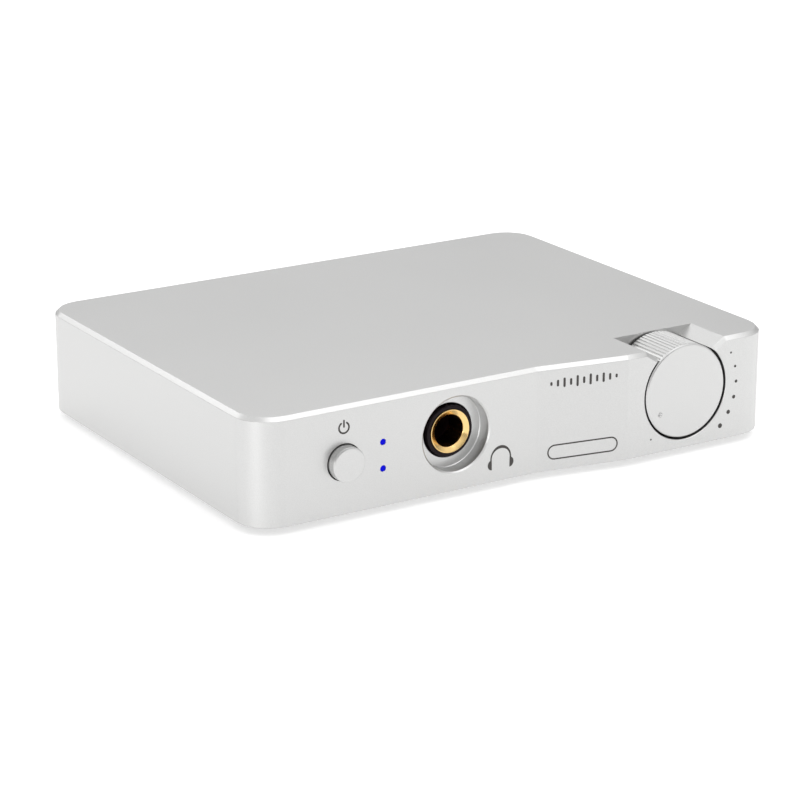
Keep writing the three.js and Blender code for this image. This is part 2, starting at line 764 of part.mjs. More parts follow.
function usbShell() {
  const { x, width, height, wall, front, mouth } = USB;
  const low = BOARD_TOP + SEAT_GAP;
  const outer = block([x - width / 2, front, low], [x + width / 2, mouth, low + height]);
  const half = width / 2 - wall;
  const inner = block([x - half, front + wall, low + wall], [x + half, mouth + 1, low + height - wall]);
  return cut(outer, inner);
}

// The moulding in the socket: a back block and the tongue that carries the contacts.
function usbTongue() {
  const { x, width, height, wall, front, mouth } = USB;
  const middle = BOARD_TOP + SEAT_GAP + height / 2;
  const half = width / 2 - wall - SEAT_GAP;
  const halfHeight = height / 2 - wall - SEAT_GAP;
  const backFace = front + wall + SEAT_GAP;
  const end = front + 5;
  const backBlock = block([x - half, backFace, middle - halfHeight], [x + half, end, middle + halfHeight]);
  const { halfWidth, halfHeight: rise, setBack } = USB_TONGUE;
  const near = [x - halfWidth, end - 1, middle - rise];
  const tongue = block(near, [x + halfWidth, mouth - setBack, middle + rise]);
  return joined(backBlock, tongue);
}

function phonoBarrel(x) {
  const { z, outerRadius, innerRadius } = PHONO;
  const { radius, thickness } = PHONO_FLANGE;
  const seat = REAR_FACE + SEAT_GAP;
  const flange = tubeAlongY(radius, innerRadius, seat, REAR_FACE + thickness, x, z, 24);
  const barrel = tubeAlongY(outerRadius, innerRadius, PHONO_INSIDE.front, REAR_MOST, x, z, 24);
  return joined(barrel, flange);
}

function phonoInsulator(x) {
  const { z, innerRadius, pinHole } = PHONO;
  const outer = innerRadius - SEAT_GAP;
  const { front, pinHoleEnd } = PHONO_INSIDE;
  const mouth = REAR_MOST - 0.4;
  const outside = [[0, front], [outer, front], [outer, mouth]];
  const inside = [[pinHole, mouth], [pinHole, pinHoleEnd], [0, pinHoleEnd]];
  return turnedAlongY([...outside, ...inside], x, z, 24);
}

// One moulding behind the panel carries all three phono sockets.
function phonoBlock() {
  const { front, back, top, margin } = PHONO_BLOCK;
  const left = PHONO_X.coax_in - margin;
  const right = PHONO_X.line_out_left + margin;
  return block([left, front, BOARD_TOP + SEAT_GAP], [right, back, top]);
}

function opticalCentre() {
  return BOARD_TOP + SEAT_GAP + OPTICAL.height / 2;
}

function shutterPivot() {
  const y = OPTICAL.mouth - SHUTTER.setBack - SHUTTER.thickness / 2;
  return { y, z: opticalCentre() + OPTICAL.cavity / 2 - SHUTTER.pivotDrop };
}

function opticalHousing() {
  const { x, width, height, cavity, front, mouth } = OPTICAL;
  const low = BOARD_TOP + SEAT_GAP;
  const z = opticalCentre();
  const outer = block([x - width / 2, front, low], [x + width / 2, mouth, low + height]);
  const half = cavity / 2;
  const inner = block([x - half, front + 3, z - half], [x + half, mouth + 1, z + half]);
  const pivot = shutterPivot();
  const reach = half + 0.9;
  const pinHole = rodAlongZ(SHUTTER.pinRadius + 0.12, -reach, reach, 0, 0, 12);
  pinHole.rotateY(Math.PI / 2).translate(x, pivot.y, pivot.z);
  return cut(outer, inner, pinHole);
}

// The dust shutter: a flap with a rounded upper edge and a pin at each end of it.
function opticalShutter() {
  const { x, cavity } = OPTICAL;
  const pivot = shutterPivot();
  const half = SHUTTER.thickness / 2;
  const side = cavity / 2 - SHUTTER.clearance;
  const lowest = opticalCentre() - side;
  const flap = block([x - side, pivot.y - half, lowest], [x + side, pivot.y + half, pivot.z]);
  const edge = rodAlongZ(half, -side, side, 0, 0, 16);
  const pin = rodAlongZ(SHUTTER.pinRadius, -side - 0.8, side + 0.8, 0, 0, 12);
  const turned = [edge, pin].map((rod) => rod.rotateY(Math.PI / 2).translate(x, pivot.y, pivot.z));
  return joined(flap, ...turned);
}

// ---------------------------------------------------------------------------------------------
// Assembly

const unit = new THREE.Group();
unit.position.set(-CASE.width / 2, -(REAR_MOST - STEP.depth) / 2, FOOT.height);

function add(name, geometry, look, x = 0, y = 0, z = 0) {
  const mesh = new THREE.Mesh(cleaned(geometry), look);
  mesh.name = name;
  mesh.position.set(x, y, z);
  unit.add(mesh);
  return mesh;
}

add('case_shell', caseShell(), anodised);
add('bottom_plate', bottomPlate(), anodised);
add('rear_panel', rearPanel(), anodised);
for (const [place, [x, y]] of Object.entries(feetPlaces())) {
  add(`foot_${place}`, foot(), rubber, x, y, -FOOT.height);
}
for (const [place, [x, y]] of Object.entries(screwPlaces())) {
  add(`bottom_screw_${place}`, countersunkScrew(SCREW.length), steel, x, y, 0);
}
for (const [place, x] of Object.entries(rearScrewPlaces())) {
  const seat = REAR_FACE + SEAT_GAP;
  const screw = add(`rear_screw_${place}`, panScrew(SCREW.length), steel, x, seat, REAR_SCREW.z);
  screw.rotation.x = Math.PI / 2;
}

add('main_board', mainBoard(), circuitBoard);
standoffPlaces().forEach(([x, y], i) => {
  add(`standoff_${i + 1}`, standoff(), gold, x, y, 0);
  const seat = BOARD_TOP + SEAT_GAP;
  const screw = add(`board_screw_${i + 1}`, panScrew(STANDOFF.screwLength), steel, x, y, seat);
  screw.rotation.x = Math.PI;
});

add('volume_knob', volumeKnob(), knobMetal);
add('knob_insert', knobInsert(), gold);
add('volume_pot_body', potBody(), steel);
add('volume_pot_shaft', potShaft(), steel);
add('volume_pot_nut', potNut(), steel);

add('power_button', powerButton(), knobMetal);
add('power_switch_plunger', switchPlunger(), whitePlastic);
add('power_switch_spring', switchSpring(), steel);
add('power_switch_body', switchBody(), blackPlastic);

add('led_holder', ledHolder(), blackPlastic);
for (const [place, z] of Object.entries(LIGHT.heights)) {
  add(`light_pipe_${place}`, lightPipe(z), blueGlow);
  add(`led_${place}`, led(z), blueGlow);
}

add('headphone_jack_body', jackBody(), blackPlastic);
add('headphone_jack_ferrule', jackFerrule(), gold);
add('jack_ring_contact', jackContact(-1, CONTACT.ringBump), gold);
add('jack_tip_contact', jackContact(1, CONTACT.tipBump), gold);

add('usb_shell', usbShell(), steel);
add('usb_tongue', usbTongue(), whitePlastic);
add('phono_block', phonoBlock(), blackPlastic);
const ringColours = { coax_in: orangePlastic, line_out_right: redPlastic, line_out_left: whitePlastic };
for (const [name, x] of Object.entries(PHONO_X)) {
  add(`${name}_barrel`, phonoBarrel(x), gold);
  add(`${name}_insulator`, phonoInsulator(x), ringColours[name]);
}
add('optical_housing', opticalHousing(), blackPlastic);
add('optical_shutter', opticalShutter(), blackPlastic);

CAPACITOR.rows.forEach((y, i) => {
  add(`capacitor_${i + 1}`, capacitor(), capacitorSleeve, CAPACITOR.x, y, 0);
});
add('usb_chip', chip(26, 58, 9, 9, 1.2), chipPlastic);
add('converter_chip', chip(44, 62, 10, 7, 1.5), chipPlastic);
add('amplifier_chip', chip(60, 34, 6.5, 10, 1.6), chipPlastic);
add('clock_crystal', chip(34, 48, 11, 4.6, 3.5), steel);

export default unit;
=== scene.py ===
"""The looks of the desktop DAC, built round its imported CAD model.

Lengths are in millimetres until a mesh is made, in the frame of the CAD model: +X runs right along
the front, +Y to the back and +Z up, from the centre of the footprint.
"""

import math

import bmesh
import bpy
from mathutils import Matrix, Vector


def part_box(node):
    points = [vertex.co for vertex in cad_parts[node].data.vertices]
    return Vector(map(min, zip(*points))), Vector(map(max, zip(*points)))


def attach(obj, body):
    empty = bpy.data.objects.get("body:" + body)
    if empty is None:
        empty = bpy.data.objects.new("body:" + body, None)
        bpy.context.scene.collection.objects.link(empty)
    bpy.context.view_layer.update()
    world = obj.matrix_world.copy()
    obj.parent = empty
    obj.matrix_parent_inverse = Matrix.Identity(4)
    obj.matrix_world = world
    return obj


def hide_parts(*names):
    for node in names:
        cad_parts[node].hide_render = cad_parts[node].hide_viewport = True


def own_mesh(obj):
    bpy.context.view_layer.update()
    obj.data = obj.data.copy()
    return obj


MM = 0.001

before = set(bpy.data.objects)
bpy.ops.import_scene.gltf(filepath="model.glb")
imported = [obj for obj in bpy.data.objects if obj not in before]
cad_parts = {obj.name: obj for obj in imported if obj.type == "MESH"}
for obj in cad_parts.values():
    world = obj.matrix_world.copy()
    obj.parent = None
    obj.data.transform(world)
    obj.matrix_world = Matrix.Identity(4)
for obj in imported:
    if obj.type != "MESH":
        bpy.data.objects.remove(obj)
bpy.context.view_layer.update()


# --- Places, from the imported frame


def node_box(node):
    """The lowest and highest corner of a CAD node, in millimetres."""
    low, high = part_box(node)
    return Vector(low) / MM, Vector(high) / MM


def node_centre(node):
    low, high = node_box(node)
    return (low + high) / 2


CASE_LOW, CASE_HIGH = node_box("case_shell")
CASE_TOP = CASE_HIGH.z
CASE_UNDER = CASE_LOW.z
STEP = 3.3                        # how far the right part of the front stands out
LEFT_FRONT = CASE_LOW.y + STEP    # the front face left of the ramp
RIGHT_FRONT = CASE_LOW.y          # the front face round the knob
BACK = CASE_HIGH.y
RAMP_START = CASE_LOW.x + 64.2
RAMP_END = CASE_LOW.x + 84.0
CORNER_RADIUS = 7.2
CHAMFER = 0.8
SKIN = 0.02                       # how far the looks stay inside the CAD box, for the print

KNOB_LOW, KNOB_HIGH = node_box("volume_knob")
KNOB = (KNOB_LOW + KNOB_HIGH) / 2
KNOB_RADIUS = (KNOB_HIGH.x - KNOB_LOW.x) / 2
WELL_RADIUS = KNOB_RADIUS + 0.45
WELL_BACK = KNOB_HIGH.y + 0.5
NOTCH_BACK = WELL_BACK - 0.05

BUTTON = node_centre("power_button")
BUTTON_LOW, BUTTON_HIGH = node_box("power_button")
BUTTON_RADIUS = 3.57

FERRULE_LOW, FERRULE_HIGH = node_box("headphone_jack_ferrule")
JACK = (FERRULE_LOW + FERRULE_HIGH) / 2
FERRULE_RADIUS = (FERRULE_HIGH.x - FERRULE_LOW.x) / 2
FERRULE_BORE = 3.28
NOSE_FACE = node_box("headphone_jack_body")[0].y
NOSE_RADIUS = 5.25
RECESS_RADIUS = 7.65
RECESS_DEPTH = 3.3

WALL_FRONT = 4.6
WALL_SIDE = 2.4
BLOCK_BACK = LEFT_FRONT + 10.6    # the solid block round the knob's well
SCREW_HEAD = 2.1
SCREW_CORE = 0.9
SCREW_HOLE = 1.3
HEX_SOCKET = 0.86
PANEL_LOW, PANEL_HIGH = node_box("rear_panel")
PLATE_LOW, PLATE_HIGH = node_box("bottom_plate")
CORNERS = ("front_left", "front_right", "back_left", "back_right")
SIDES = ("left", "right")


# --- Outlines and meshes


def rounded(points, radii, steps=4):
    """A closed outline of 2D points with an arc of its own radius at each corner."""
    count = len(points)
    outline = []
    for i, (corner, radius) in enumerate(zip(points, radii)):
        corner = Vector(corner)
        before = (Vector(points[i - 1]) - corner).normalized()
        after = (Vector(points[(i + 1) % count]) - corner).normalized()
        if radius <= 0:
            outline.append(corner)
            continue
        half = before.angle(after) / 2
        reach = radius / math.tan(half)
        centre = corner + (before + after).normalized() * (radius / math.sin(half))
        start = corner + before * reach - centre
        turn = start.angle_signed(corner + after * reach - centre)
        pieces = max(1, steps)
        for k in range(pieces + 1):
            outline.append(centre + Matrix.Rotation(-turn * k / pieces, 2) @ start)
    return outline


def rounded_profile(points, radii, steps=4):
    """An open profile of 2D points: its two ends stay sharp, and the corners between are arcs."""
    closed = rounded(points, [0, *radii, 0], steps)
    return [(p.x, p.y) for p in closed]


def inset(outline, distance):
    """A closed, anticlockwise outline moved inwards, or outwards by a negative distance."""
    moved = []
    count = len(outline)
    for i, point in enumerate(outline):
        first = (point - outline[i - 1]).normalized()
        second = (outline[(i + 1) % count] - point).normalized()
        normals = Vector((-first.y, first.x)), Vector((-second.y, second.x))
        share = 1 + normals[0].dot(normals[1])
        moved.append(point + (normals[0] + normals[1]) * (distance / share))
    return moved


def make_mesh(name, points, faces):
    """A mesh object from points in millimetres."""
    mesh = bpy.data.meshes.new(name)
    mesh.from_pydata([Vector(p) * MM for p in points], [], faces)
    mesh.validate()
    made = bmesh.new()
    made.from_mesh(mesh)
    bmesh.ops.remove_doubles(made, verts=made.verts, dist=1e-7)
    bmesh.ops.recalc_face_normals(made, faces=made.faces)
    made.to_mesh(mesh)
    made.free()
    piece = bpy.data.objects.new(name, mesh)
    bpy.context.scene.collection.objects.link(piece)
    return piece


def skin_faces(count, size, closed=False, first=0):
    """The faces over count rings of size points, capped at both ends or closed on themselves."""
    faces = []
    for k in range(count if closed else count - 1):
        here = first + k * size
        there = first + (k + 1) % count * size
        for i in range(size):
            j = (i + 1) % size
            faces.append((here + i, here + j, there + j, there + i))
    if not closed:
        last = first + (count - 1) * size
        faces += [tuple(range(first, first + size)), tuple(range(last, last + size))]
    return faces


def loft(name, rings, closed=False):
    """A body through rings of as many points each."""
    points = [p for ring in rings for p in ring]
    return make_mesh(name, points, skin_faces(len(rings), len(rings[0]), closed))


def circle(x, y, radius, segments):
    angles = [2 * math.pi * i / segments for i in range(segments)]
    return [(x + radius * math.cos(angle), y + radius * math.sin(angle)) for angle in angles]


def turned(name, profile, centre, segments=64, closed=False):
    """A body turned about an axis along Y through centre, from (radius, y) points. An open profile
    starts and ends on the axis, and a closed one makes a ring."""
    rings = []
    for radius, y in profile:
        rings.append([(x, y, z) for x, z in circle(centre.x, centre.z, radius, segments)])
    return loft(name, rings, closed)


def turned_upright(name, profile, centre, segments=48):
    """A body turned about a vertical axis, from (radius, z) points."""
    rings = []
    for radius, z in profile:
        rings.append([(x, y, z) for x, y in circle(centre.x, centre.y, radius, segments)])
    return loft(name, rings)


def upright(name, outline, low, high):
    """An outline in plan, pushed up from low to high."""
    return loft(name, [[(p.x, p.y, z) for p in outline] for z in (low, high)])


def stacked(name, outline, profile):
    """An outline in plan, lofted upwards through (how far it is moved inwards, z)."""
    rings = []
    for distance, z in profile:
        rings.append([(p.x, p.y, z) for p in inset(outline, distance)])
    return loft(name, rings)


def along_y(name, outline, stations):
    """An outline in the XZ plane, lofted along Y through (y, how far it is spread outwards)."""
    rings = []
    for y, spread in stations:
        rings.append([(p.x, y, p.y) for p in inset(outline, -spread)])
    return loft(name, rings)


def rectangle(low, high):
    return [(low[0], low[1]), (high[0], low[1]), (high[0], high[1]), (low[0], high[1])]


def box_outline(low, high, radii, gap=0.0, steps=6):
    """A rounded rectangle in the XZ plane, a gap outside a box or, if it is negative, inside it."""
    corners = rectangle((low.x - gap, low.z - gap), (high.x + gap, high.z + gap))
    return rounded(corners, radii, steps)


def rod_x(name, radius, middle, reach, y, z):
    section = [Vector((y, z)) + p for p in disc((0, 0), radius, 20)]
    return loft(name, [[(middle + x, p.x, p.y) for p in section] for x in (-reach, reach)])


def rod_y(name, radius, y0, y1, centre, segments=48):
    return turned(name, [(0, y0), (radius, y0), (radius, y1), (0, y1)], centre, segments)


def carve(piece, cutters, operation="DIFFERENCE"):
    """Cuts the cutters out of a piece, one after another, and removes them."""
    for cutter in cutters:
        modifier = piece.modifiers.new("carve", "BOOLEAN")
        modifier.operation = operation
        modifier.solver = "EXACT"
        modifier.object = cutter
        bpy.context.view_layer.update()
        evaluated = piece.evaluated_get(bpy.context.evaluated_depsgraph_get())
        mesh = bpy.data.meshes.new_from_object(evaluated)
        piece.modifiers.clear()
        piece.data = mesh
        mesh.name = piece.name
        bpy.data.objects.remove(cutter)
    return piece


def finished(piece, body, slot, replaces=(), sharp=32, look=None):
    """Smooths a piece up to its sharp edges, gives it a material and hangs it on a CAD body."""
    mesh = piece.data
    mesh.materials.clear()
    mesh.materials.append(look or SLOT_LOOKS[slot])
    mesh.polygons.foreach_set("use_smooth", [True] * len(mesh.polygons))
    mesh.set_sharp_from_angle(angle=math.radians(sharp))
    weighted = piece.modifiers.new("even_normals", "WEIGHTED_NORMAL")
    weighted.keep_sharp = True
    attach(piece, body)
    if replaces:
        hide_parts(*replaces)


# --- Materials


NOISE_SPAN = (0.3, 0.7)           # most of a noise texture's values lie in it


def map_range(tree, value, low, high, at):
    """A node that takes a value from low to high, as its input goes through the range at."""
    node = tree.nodes.new("ShaderNodeMapRange")
    ends = {"From Min": at[0], "From Max": at[1], "To Min": low, "To Max": high}
    for name, end in ends.items():
        node.inputs[name].default_value = end
    tree.links.new(value, node.inputs["Value"])
    return node.outputs["Result"]


class Look:
    """A Principled material that is put together node by node."""

    def __init__(self, name, metallic=0.0):
        self.material = bpy.data.materials.new(name)
        self.material.use_nodes = True
        self.nodes = self.material.node_tree.nodes
        self.links = self.material.node_tree.links
        self.shader = self.nodes["Principled BSDF"]
        self.place = self.nodes.new("ShaderNodeTexCoord").outputs["Object"]
        self.fix("Metallic", metallic)

    def fix(self, name, value):
        self.shader.inputs[name].default_value = value

    def noise(self, size, detail=3.0, place=None):
        """Noise whose lumps are about size millimetres across."""
        node = self.nodes.new("ShaderNodeTexNoise")
        node.inputs["Scale"].default_value = 1 / (size * MM)
        node.inputs["Detail"].default_value = detail
        self.links.new(place or self.place, node.inputs["Vector"])
        return node.outputs["Fac"]

    def stretched(self, scale):
        """Places squeezed or stretched along each axis, for grain that runs one way."""
        node = self.nodes.new("ShaderNodeMapping")
        node.inputs["Scale"].default_value = scale
        self.links.new(self.place, node.inputs["Vector"])
        return node.outputs["Vector"]

    def spread(self, value, low, high):
        """A value from low to high, as noise goes from its hollows to its lumps."""
        return map_range(self.material.node_tree, value, low, high, NOISE_SPAN)

    def blend(self, value, first, second):
        """A colour from first to second, as noise goes from its hollows to its lumps."""
        node = self.nodes.new("ShaderNodeValToRGB")
        ends = zip(node.color_ramp.elements, NOISE_SPAN, (first, second))
        for element, position, colour in ends:
            element.position = position
            element.color = (*colour, 1)
        self.links.new(value, node.inputs["Fac"])
        return node.outputs["Color"]

    def colour(self, socket):
        self.links.new(socket, self.shader.inputs["Base Color"])

    def tint(self, value, colour, low, high):
        """The base colour, from a low to a high share of a colour."""
        self.colour(self.blend(value, scaled(colour, low), scaled(colour, high)))

    def roughness(self, value, low, high):
        self.links.new(self.spread(value, low, high), self.shader.inputs["Roughness"])

    def bump(self, height, depth):
        """Relief of depth millimetres."""
        node = self.nodes.new("ShaderNodeBump")
        node.inputs["Strength"].default_value = 1.0
        node.inputs["Distance"].default_value = depth * MM
        self.links.new(height, node.inputs["Height"])
        self.links.new(node.outputs["Normal"], self.shader.inputs["Normal"])


def scaled(colour, share):
    return tuple(channel * share for channel in colour)


def blasted_metal(name, colour, roughness, grain=0.16, depth=0.005):
    """Bead-blasted, anodised metal: a fine even grain, with faint cloudy patches."""
    look = Look(name, metallic=1.0)
    fine = look.noise(grain, 2.0)
    cloud = look.noise(30.0, 2.0)
    tone = look.nodes.new("ShaderNodeMix")
    tone.data_type = "RGBA"
    tone.blend_type = "MULTIPLY"
    tone.inputs["Factor"].default_value = 1.0
    look.links.new(look.blend(fine, scaled(colour, 0.95), scaled(colour, 1.03)), tone.inputs["A"])
    look.links.new(look.blend(cloud, (0.992, 0.992, 0.992), (1, 1, 1)), tone.inputs["B"])
    look.colour(tone.outputs["Result"])
    look.roughness(cloud, roughness - 0.008, roughness + 0.008)
    look.bump(fine, depth)
    return look.material


def turned_metal(name, colour, roughness, groove=0.12, depth=0.002, axis="Y"):
    """Metal turned on a lathe: fine rings round the piece's own axis, and a little stain."""
    look = Look(name, metallic=1.0)
    along = (0.08, 1, 0.08) if axis == "Y" else (0.08, 0.08, 1)
    fine = look.noise(groove, 2.0, look.stretched(along))
    stain = look.noise(2.5, 3.0)
    look.tint(stain, colour, 0.9, 1.04)
    look.roughness(stain, roughness - 0.04, roughness + 0.06)
    look.bump(fine, depth)
    return look.material


def plain_metal(name, colour, roughness, grain=0.3):
    """Plated or rolled metal with faint handling marks."""
    look = Look(name, metallic=1.0)
    fine = look.noise(grain, 4.0)
    stain = look.noise(3.0, 3.0)
    look.tint(stain, colour, 0.86, 1.05)
    look.roughness(fine, roughness - 0.06, roughness + 0.08)
    look.bump(fine, 0.002)
    return look.material


def moulded(name, colour, roughness, grain=0.25, depth=0.006, coat=0.0, gloss=0.5):
    """Moulded plastic or rubber: a spark-eroded grain and slightly uneven colour."""
    look = Look(name)
    fine = look.noise(grain, 3.0)
    cloud = look.noise(5.0, 2.0)
    look.tint(cloud, colour, 0.85, 1.12)
    look.roughness(fine, roughness - 0.06, roughness + 0.06)
    look.bump(fine, depth)
    look.fix("Coat Weight", coat)
    look.fix("Specular IOR Level", gloss)
    return look.material


def lit_lens(name, colour, strength):
    """A lit light pipe: its glow is a little uneven, as it is in cast resin."""
    look = Look(name)
    cloud = look.noise(0.5, 2.0)
    glow = look.blend(cloud, scaled(colour, 0.9), colour)
    look.tint(cloud, colour, 0.1, 0.14)
    look.links.new(glow, look.shader.inputs["Emission Color"])
    look.fix("Emission Strength", strength)
    look.roughness(cloud, 0.35, 0.45)
    look.fix("Specular IOR Level", 0.06)
    return look.material


def solder_mask(name):
    """A circuit board: green mask over a web of copper tracks, with the weave of the laminate."""
    look = Look(name)
    brick = look.nodes.new("ShaderNodeTexBrick")
    settings = {
        "Scale": 1 / (9 * MM),
        "Mortar Size": 0.03,
        "Color1": (0.012, 0.055, 0.034, 1),
        "Color2": (0.016, 0.07, 0.042, 1),
        "Mortar": (0.05, 0.16, 0.08, 1),
    }
    for setting, value in settings.items():
        brick.inputs[setting].default_value = value
    look.links.new(look.place, brick.inputs["Vector"])
    look.colour(brick.outputs["Color"])
    weave = look.noise(0.5, 2.0)
    look.roughness(weave, 0.28, 0.4)
    look.bump(weave, 0.01)
    return look.material


def printed_ink(name, colour):
    """Screen-printed ink: matt, with pinholes and slightly uneven density."""
    look = Look(name)
    fine = look.noise(0.12, 3.0)
    look.tint(fine, colour, 0.8, 1.25)
    look.roughness(fine, 0.5, 0.65)
    look.bump(fine, 0.003)
    return look.material


ALUMINIUM = (0.65, 0.65, 0.645)
GOLD = (1.0, 0.70, 0.30)
BRASS = (0.80, 0.60, 0.28)
STEEL = (0.60, 0.60, 0.61)

SLOT_LOOKS = {
    "anodised_aluminium": blasted_metal("case_metal", ALUMINIUM, 0.36),
    "knob_aluminium": blasted_metal("knob_metal", ALUMINIUM, 0.34, grain=0.13, depth=0.004),
    "gold_plate": turned_metal("gold_plate", GOLD, 0.16),
    "brass": turned_metal("turned_brass", BRASS, 0.3, axis="Z"),
    "steel": plain_metal("plated_steel", STEEL, 0.34),
    "screw_steel": plain_metal("screw_steel", scaled(STEEL, 0.7), 0.32, grain=0.2),
    "black_plastic": moulded("black_plastic", (0.014, 0.010, 0.012), 0.36),
    "white_plastic": moulded("white_plastic", (0.78, 0.76, 0.71), 0.4),
    "red_plastic": moulded("red_plastic", (0.52, 0.02, 0.016), 0.38),
    "orange_plastic": moulded("orange_plastic", (0.80, 0.20, 0.02), 0.38),
    "foot_rubber": moulded("foot_rubber", (0.028, 0.028, 0.03), 0.82, grain=0.35, depth=0.03),
    "chip_plastic": moulded("chip_plastic", (0.016, 0.016, 0.017), 0.6, grain=0.12),
    "capacitor_sleeve": moulded(
        "capacitor_sleeve", (0.02, 0.03, 0.09), 0.3, grain=0.6, depth=0.01, coat=0.3
    ),
    "board_laminate": solder_mask("board_laminate"),
    "blue_light": lit_lens("blue_light", (0.002, 0.003, 0.72), 0.9),
}
jack_plastic = moulded("jack_plastic", (0.011, 0.006, 0.008), 0.4, gloss=0.14)
ink = printed_ink("front_ink", (0.05, 0.045, 0.042))


# --- Case


def plan():
    """The case from above: four round corners, and the ramp between the two front faces."""
    corners = [
        (CASE_LOW.x, LEFT_FRONT), (RAMP_START, LEFT_FRONT), (RAMP_END, RIGHT_FRONT),
        (CASE_HIGH.x, RIGHT_FRONT), (CASE_HIGH.x, BACK), (CASE_LOW.x, BACK),
    ]
    ramp_round = 4.0
    radii = [CORNER_RADIUS, ramp_round, ramp_round, CORNER_RADIUS, CORNER_RADIUS, CORNER_RADIUS]
    return inset(rounded(corners, radii, 5), SKIN)


def case_block():
    """The outside of the case, with a fine round along the chamfer and the lower edge."""
    edge = [
        (3.4, CASE_UNDER), (0, CASE_UNDER), (0, CASE_TOP - CHAMFER), (CHAMFER, CASE_TOP),
        (3.4, CASE_TOP),
    ]
    return stacked("case_shell_look", plan(), rounded_profile(edge, [0.25, 0.12, 0.12]))


def case_inside():
    """What is milled out: the room for the board, round the screw posts and the knob's block."""
    left = CASE_LOW.x + WALL_SIDE
    right = CASE_HIGH.x - WALL_SIDE
    near = LEFT_FRONT + WALL_FRONT
    back = PANEL_LOW.y - 0.05
    right_post_back = LEFT_FRONT + 19
    left_post_back = LEFT_FRONT + 12
    front_post = CASE_LOW.x + 10
    right_post = CASE_HIGH.x - 10
    back_left_post = CASE_LOW.x + 12.5
    back_right_post = CASE_HIGH.x - 12.5
    post_front = LEFT_FRONT + 82
    corners = [
        (front_post, near), (RAMP_END, near), (RAMP_END, BLOCK_BACK), (right_post, BLOCK_BACK),
        (right_post, right_post_back), (right, right_post_back), (right, post_front),
        (back_right_post, post_front), (back_right_post, back), (back_left_post, back),
        (back_left_post, post_front), (left, post_front), (left, left_post_back),
        (front_post, left_post_back),
    ]
    outline = rounded(corners, [1.0] * len(corners), 15)
    room = upright("room", outline, CASE_UNDER - 1, CASE_TOP - 2)
    plate_corners = [
        (left, near), (RAMP_END, near), (RAMP_END, BLOCK_BACK), (right, BLOCK_BACK),
        (right, back), (left, back),
    ]
    plate_outline = rounded(plate_corners, [4.8, 0, 0, 0, 4.8, 4.8], 8)
    seat = upright("seat", plate_outline, CASE_UNDER - 1, PLATE_HIGH.z + 0.05)
    return [room, seat]


def rear_window():
    """The opening that the rear panel sits in, with a small chamfer round its outer edge."""
    low = (CASE_LOW.x + 7.5, CASE_UNDER - 3)
    high = (CASE_HIGH.x - 7.5, CASE_UNDER + 20)
    outline = rounded(rectangle(low, high), [0, 0, 1.2, 1.2], 15)
    stations = [(PANEL_LOW.y - 0.1, 0), (BACK - 0.25, 0), (BACK + 0.75, 1.0)]
    return along_y("rear_window", outline, stations)


def knob_notch():
    """The scoop over the knob, with the top's chamfer carried down its two front edges."""
    top_half = 9.9
    slope = 1.55
    over = 0.6
    under = 2.6
    high = top_half + slope * over
    low = top_half - slope * under
    corners = [
        (KNOB.x - low, CASE_TOP - under), (KNOB.x + low, CASE_TOP - under),
        (KNOB.x + high, CASE_TOP + over), (KNOB.x - high, CASE_TOP + over),
    ]
    outline = rounded(corners, [0, 0, 0, 0])
    front = RIGHT_FRONT + SKIN
    stations = [(front - 1, CHAMFER + 1), (front + CHAMFER, 0), (NOTCH_BACK, 0)]
    return along_y("notch", outline, stations)


def round_hole(name, radius, y0, y1, centre, rim, segments=96):
    """A cutter for a hole that starts at y0, with a small chamfer at its mouth."""
    profile = [(0, y0 - 1), (radius + rim + 1, y0 - 1), (radius, y0 + rim), (radius, y1), (0, y1)]
    return turned(name, profile, centre, segments)


def case_cutters():
    front = LEFT_FRONT + SKIN
    through = LEFT_FRONT + WALL_FRONT + 1
    cutters = case_inside()
    cutters.append(rear_window())
    cutters.append(knob_notch())
    cutters.append(round_hole("well", WELL_RADIUS, RIGHT_FRONT + SKIN, WELL_BACK, KNOB, 0.12, 128))
    cutters.append(rod_y("bush_hole", 3.6, WELL_BACK - 1, WELL_BACK + 4, KNOB))
    cutters.append(round_hole("button_hole", BUTTON_RADIUS + 0.15, front, through, BUTTON, 0.1, 72))
    recess_back = LEFT_FRONT + RECESS_DEPTH
    recess = [
        (0, front - 1), (RECESS_RADIUS + 1.28, front - 1), (RECESS_RADIUS, front + 0.28),
        (RECESS_RADIUS, recess_back - 0.14), (RECESS_RADIUS - 0.14, recess_back),
        (0, recess_back),
    ]
    cutters.append(turned("recess", recess, JACK, 128))
    cutters.append(round_hole("nose_hole", NOSE_RADIUS + 0.3, recess_back, through, JACK, 0.1, 96))
    for place in ("lower", "upper"):
        centre = node_centre(f"light_pipe_{place}")
        cutters.append(round_hole(f"light_{place}", 0.65, front, through, centre, 0.05, 32))
    for corner in CORNERS:
        centre = node_centre(f"bottom_screw_{corner}")
        low, high = CASE_UNDER - 1, CASE_UNDER + 8
        profile = [(0, low), (SCREW_HOLE, low), (SCREW_HOLE, high), (0, high)]
        cutters.append(turned_upright(f"hole_{corner}", profile, centre, 24))
    for side in SIDES:
        centre = node_centre(f"rear_screw_{side}")
        cutters.append(rod_y(f"rear_hole_{side}", SCREW_HOLE, PANEL_LOW.y - 8, BACK, centre, 24))
    return cutters


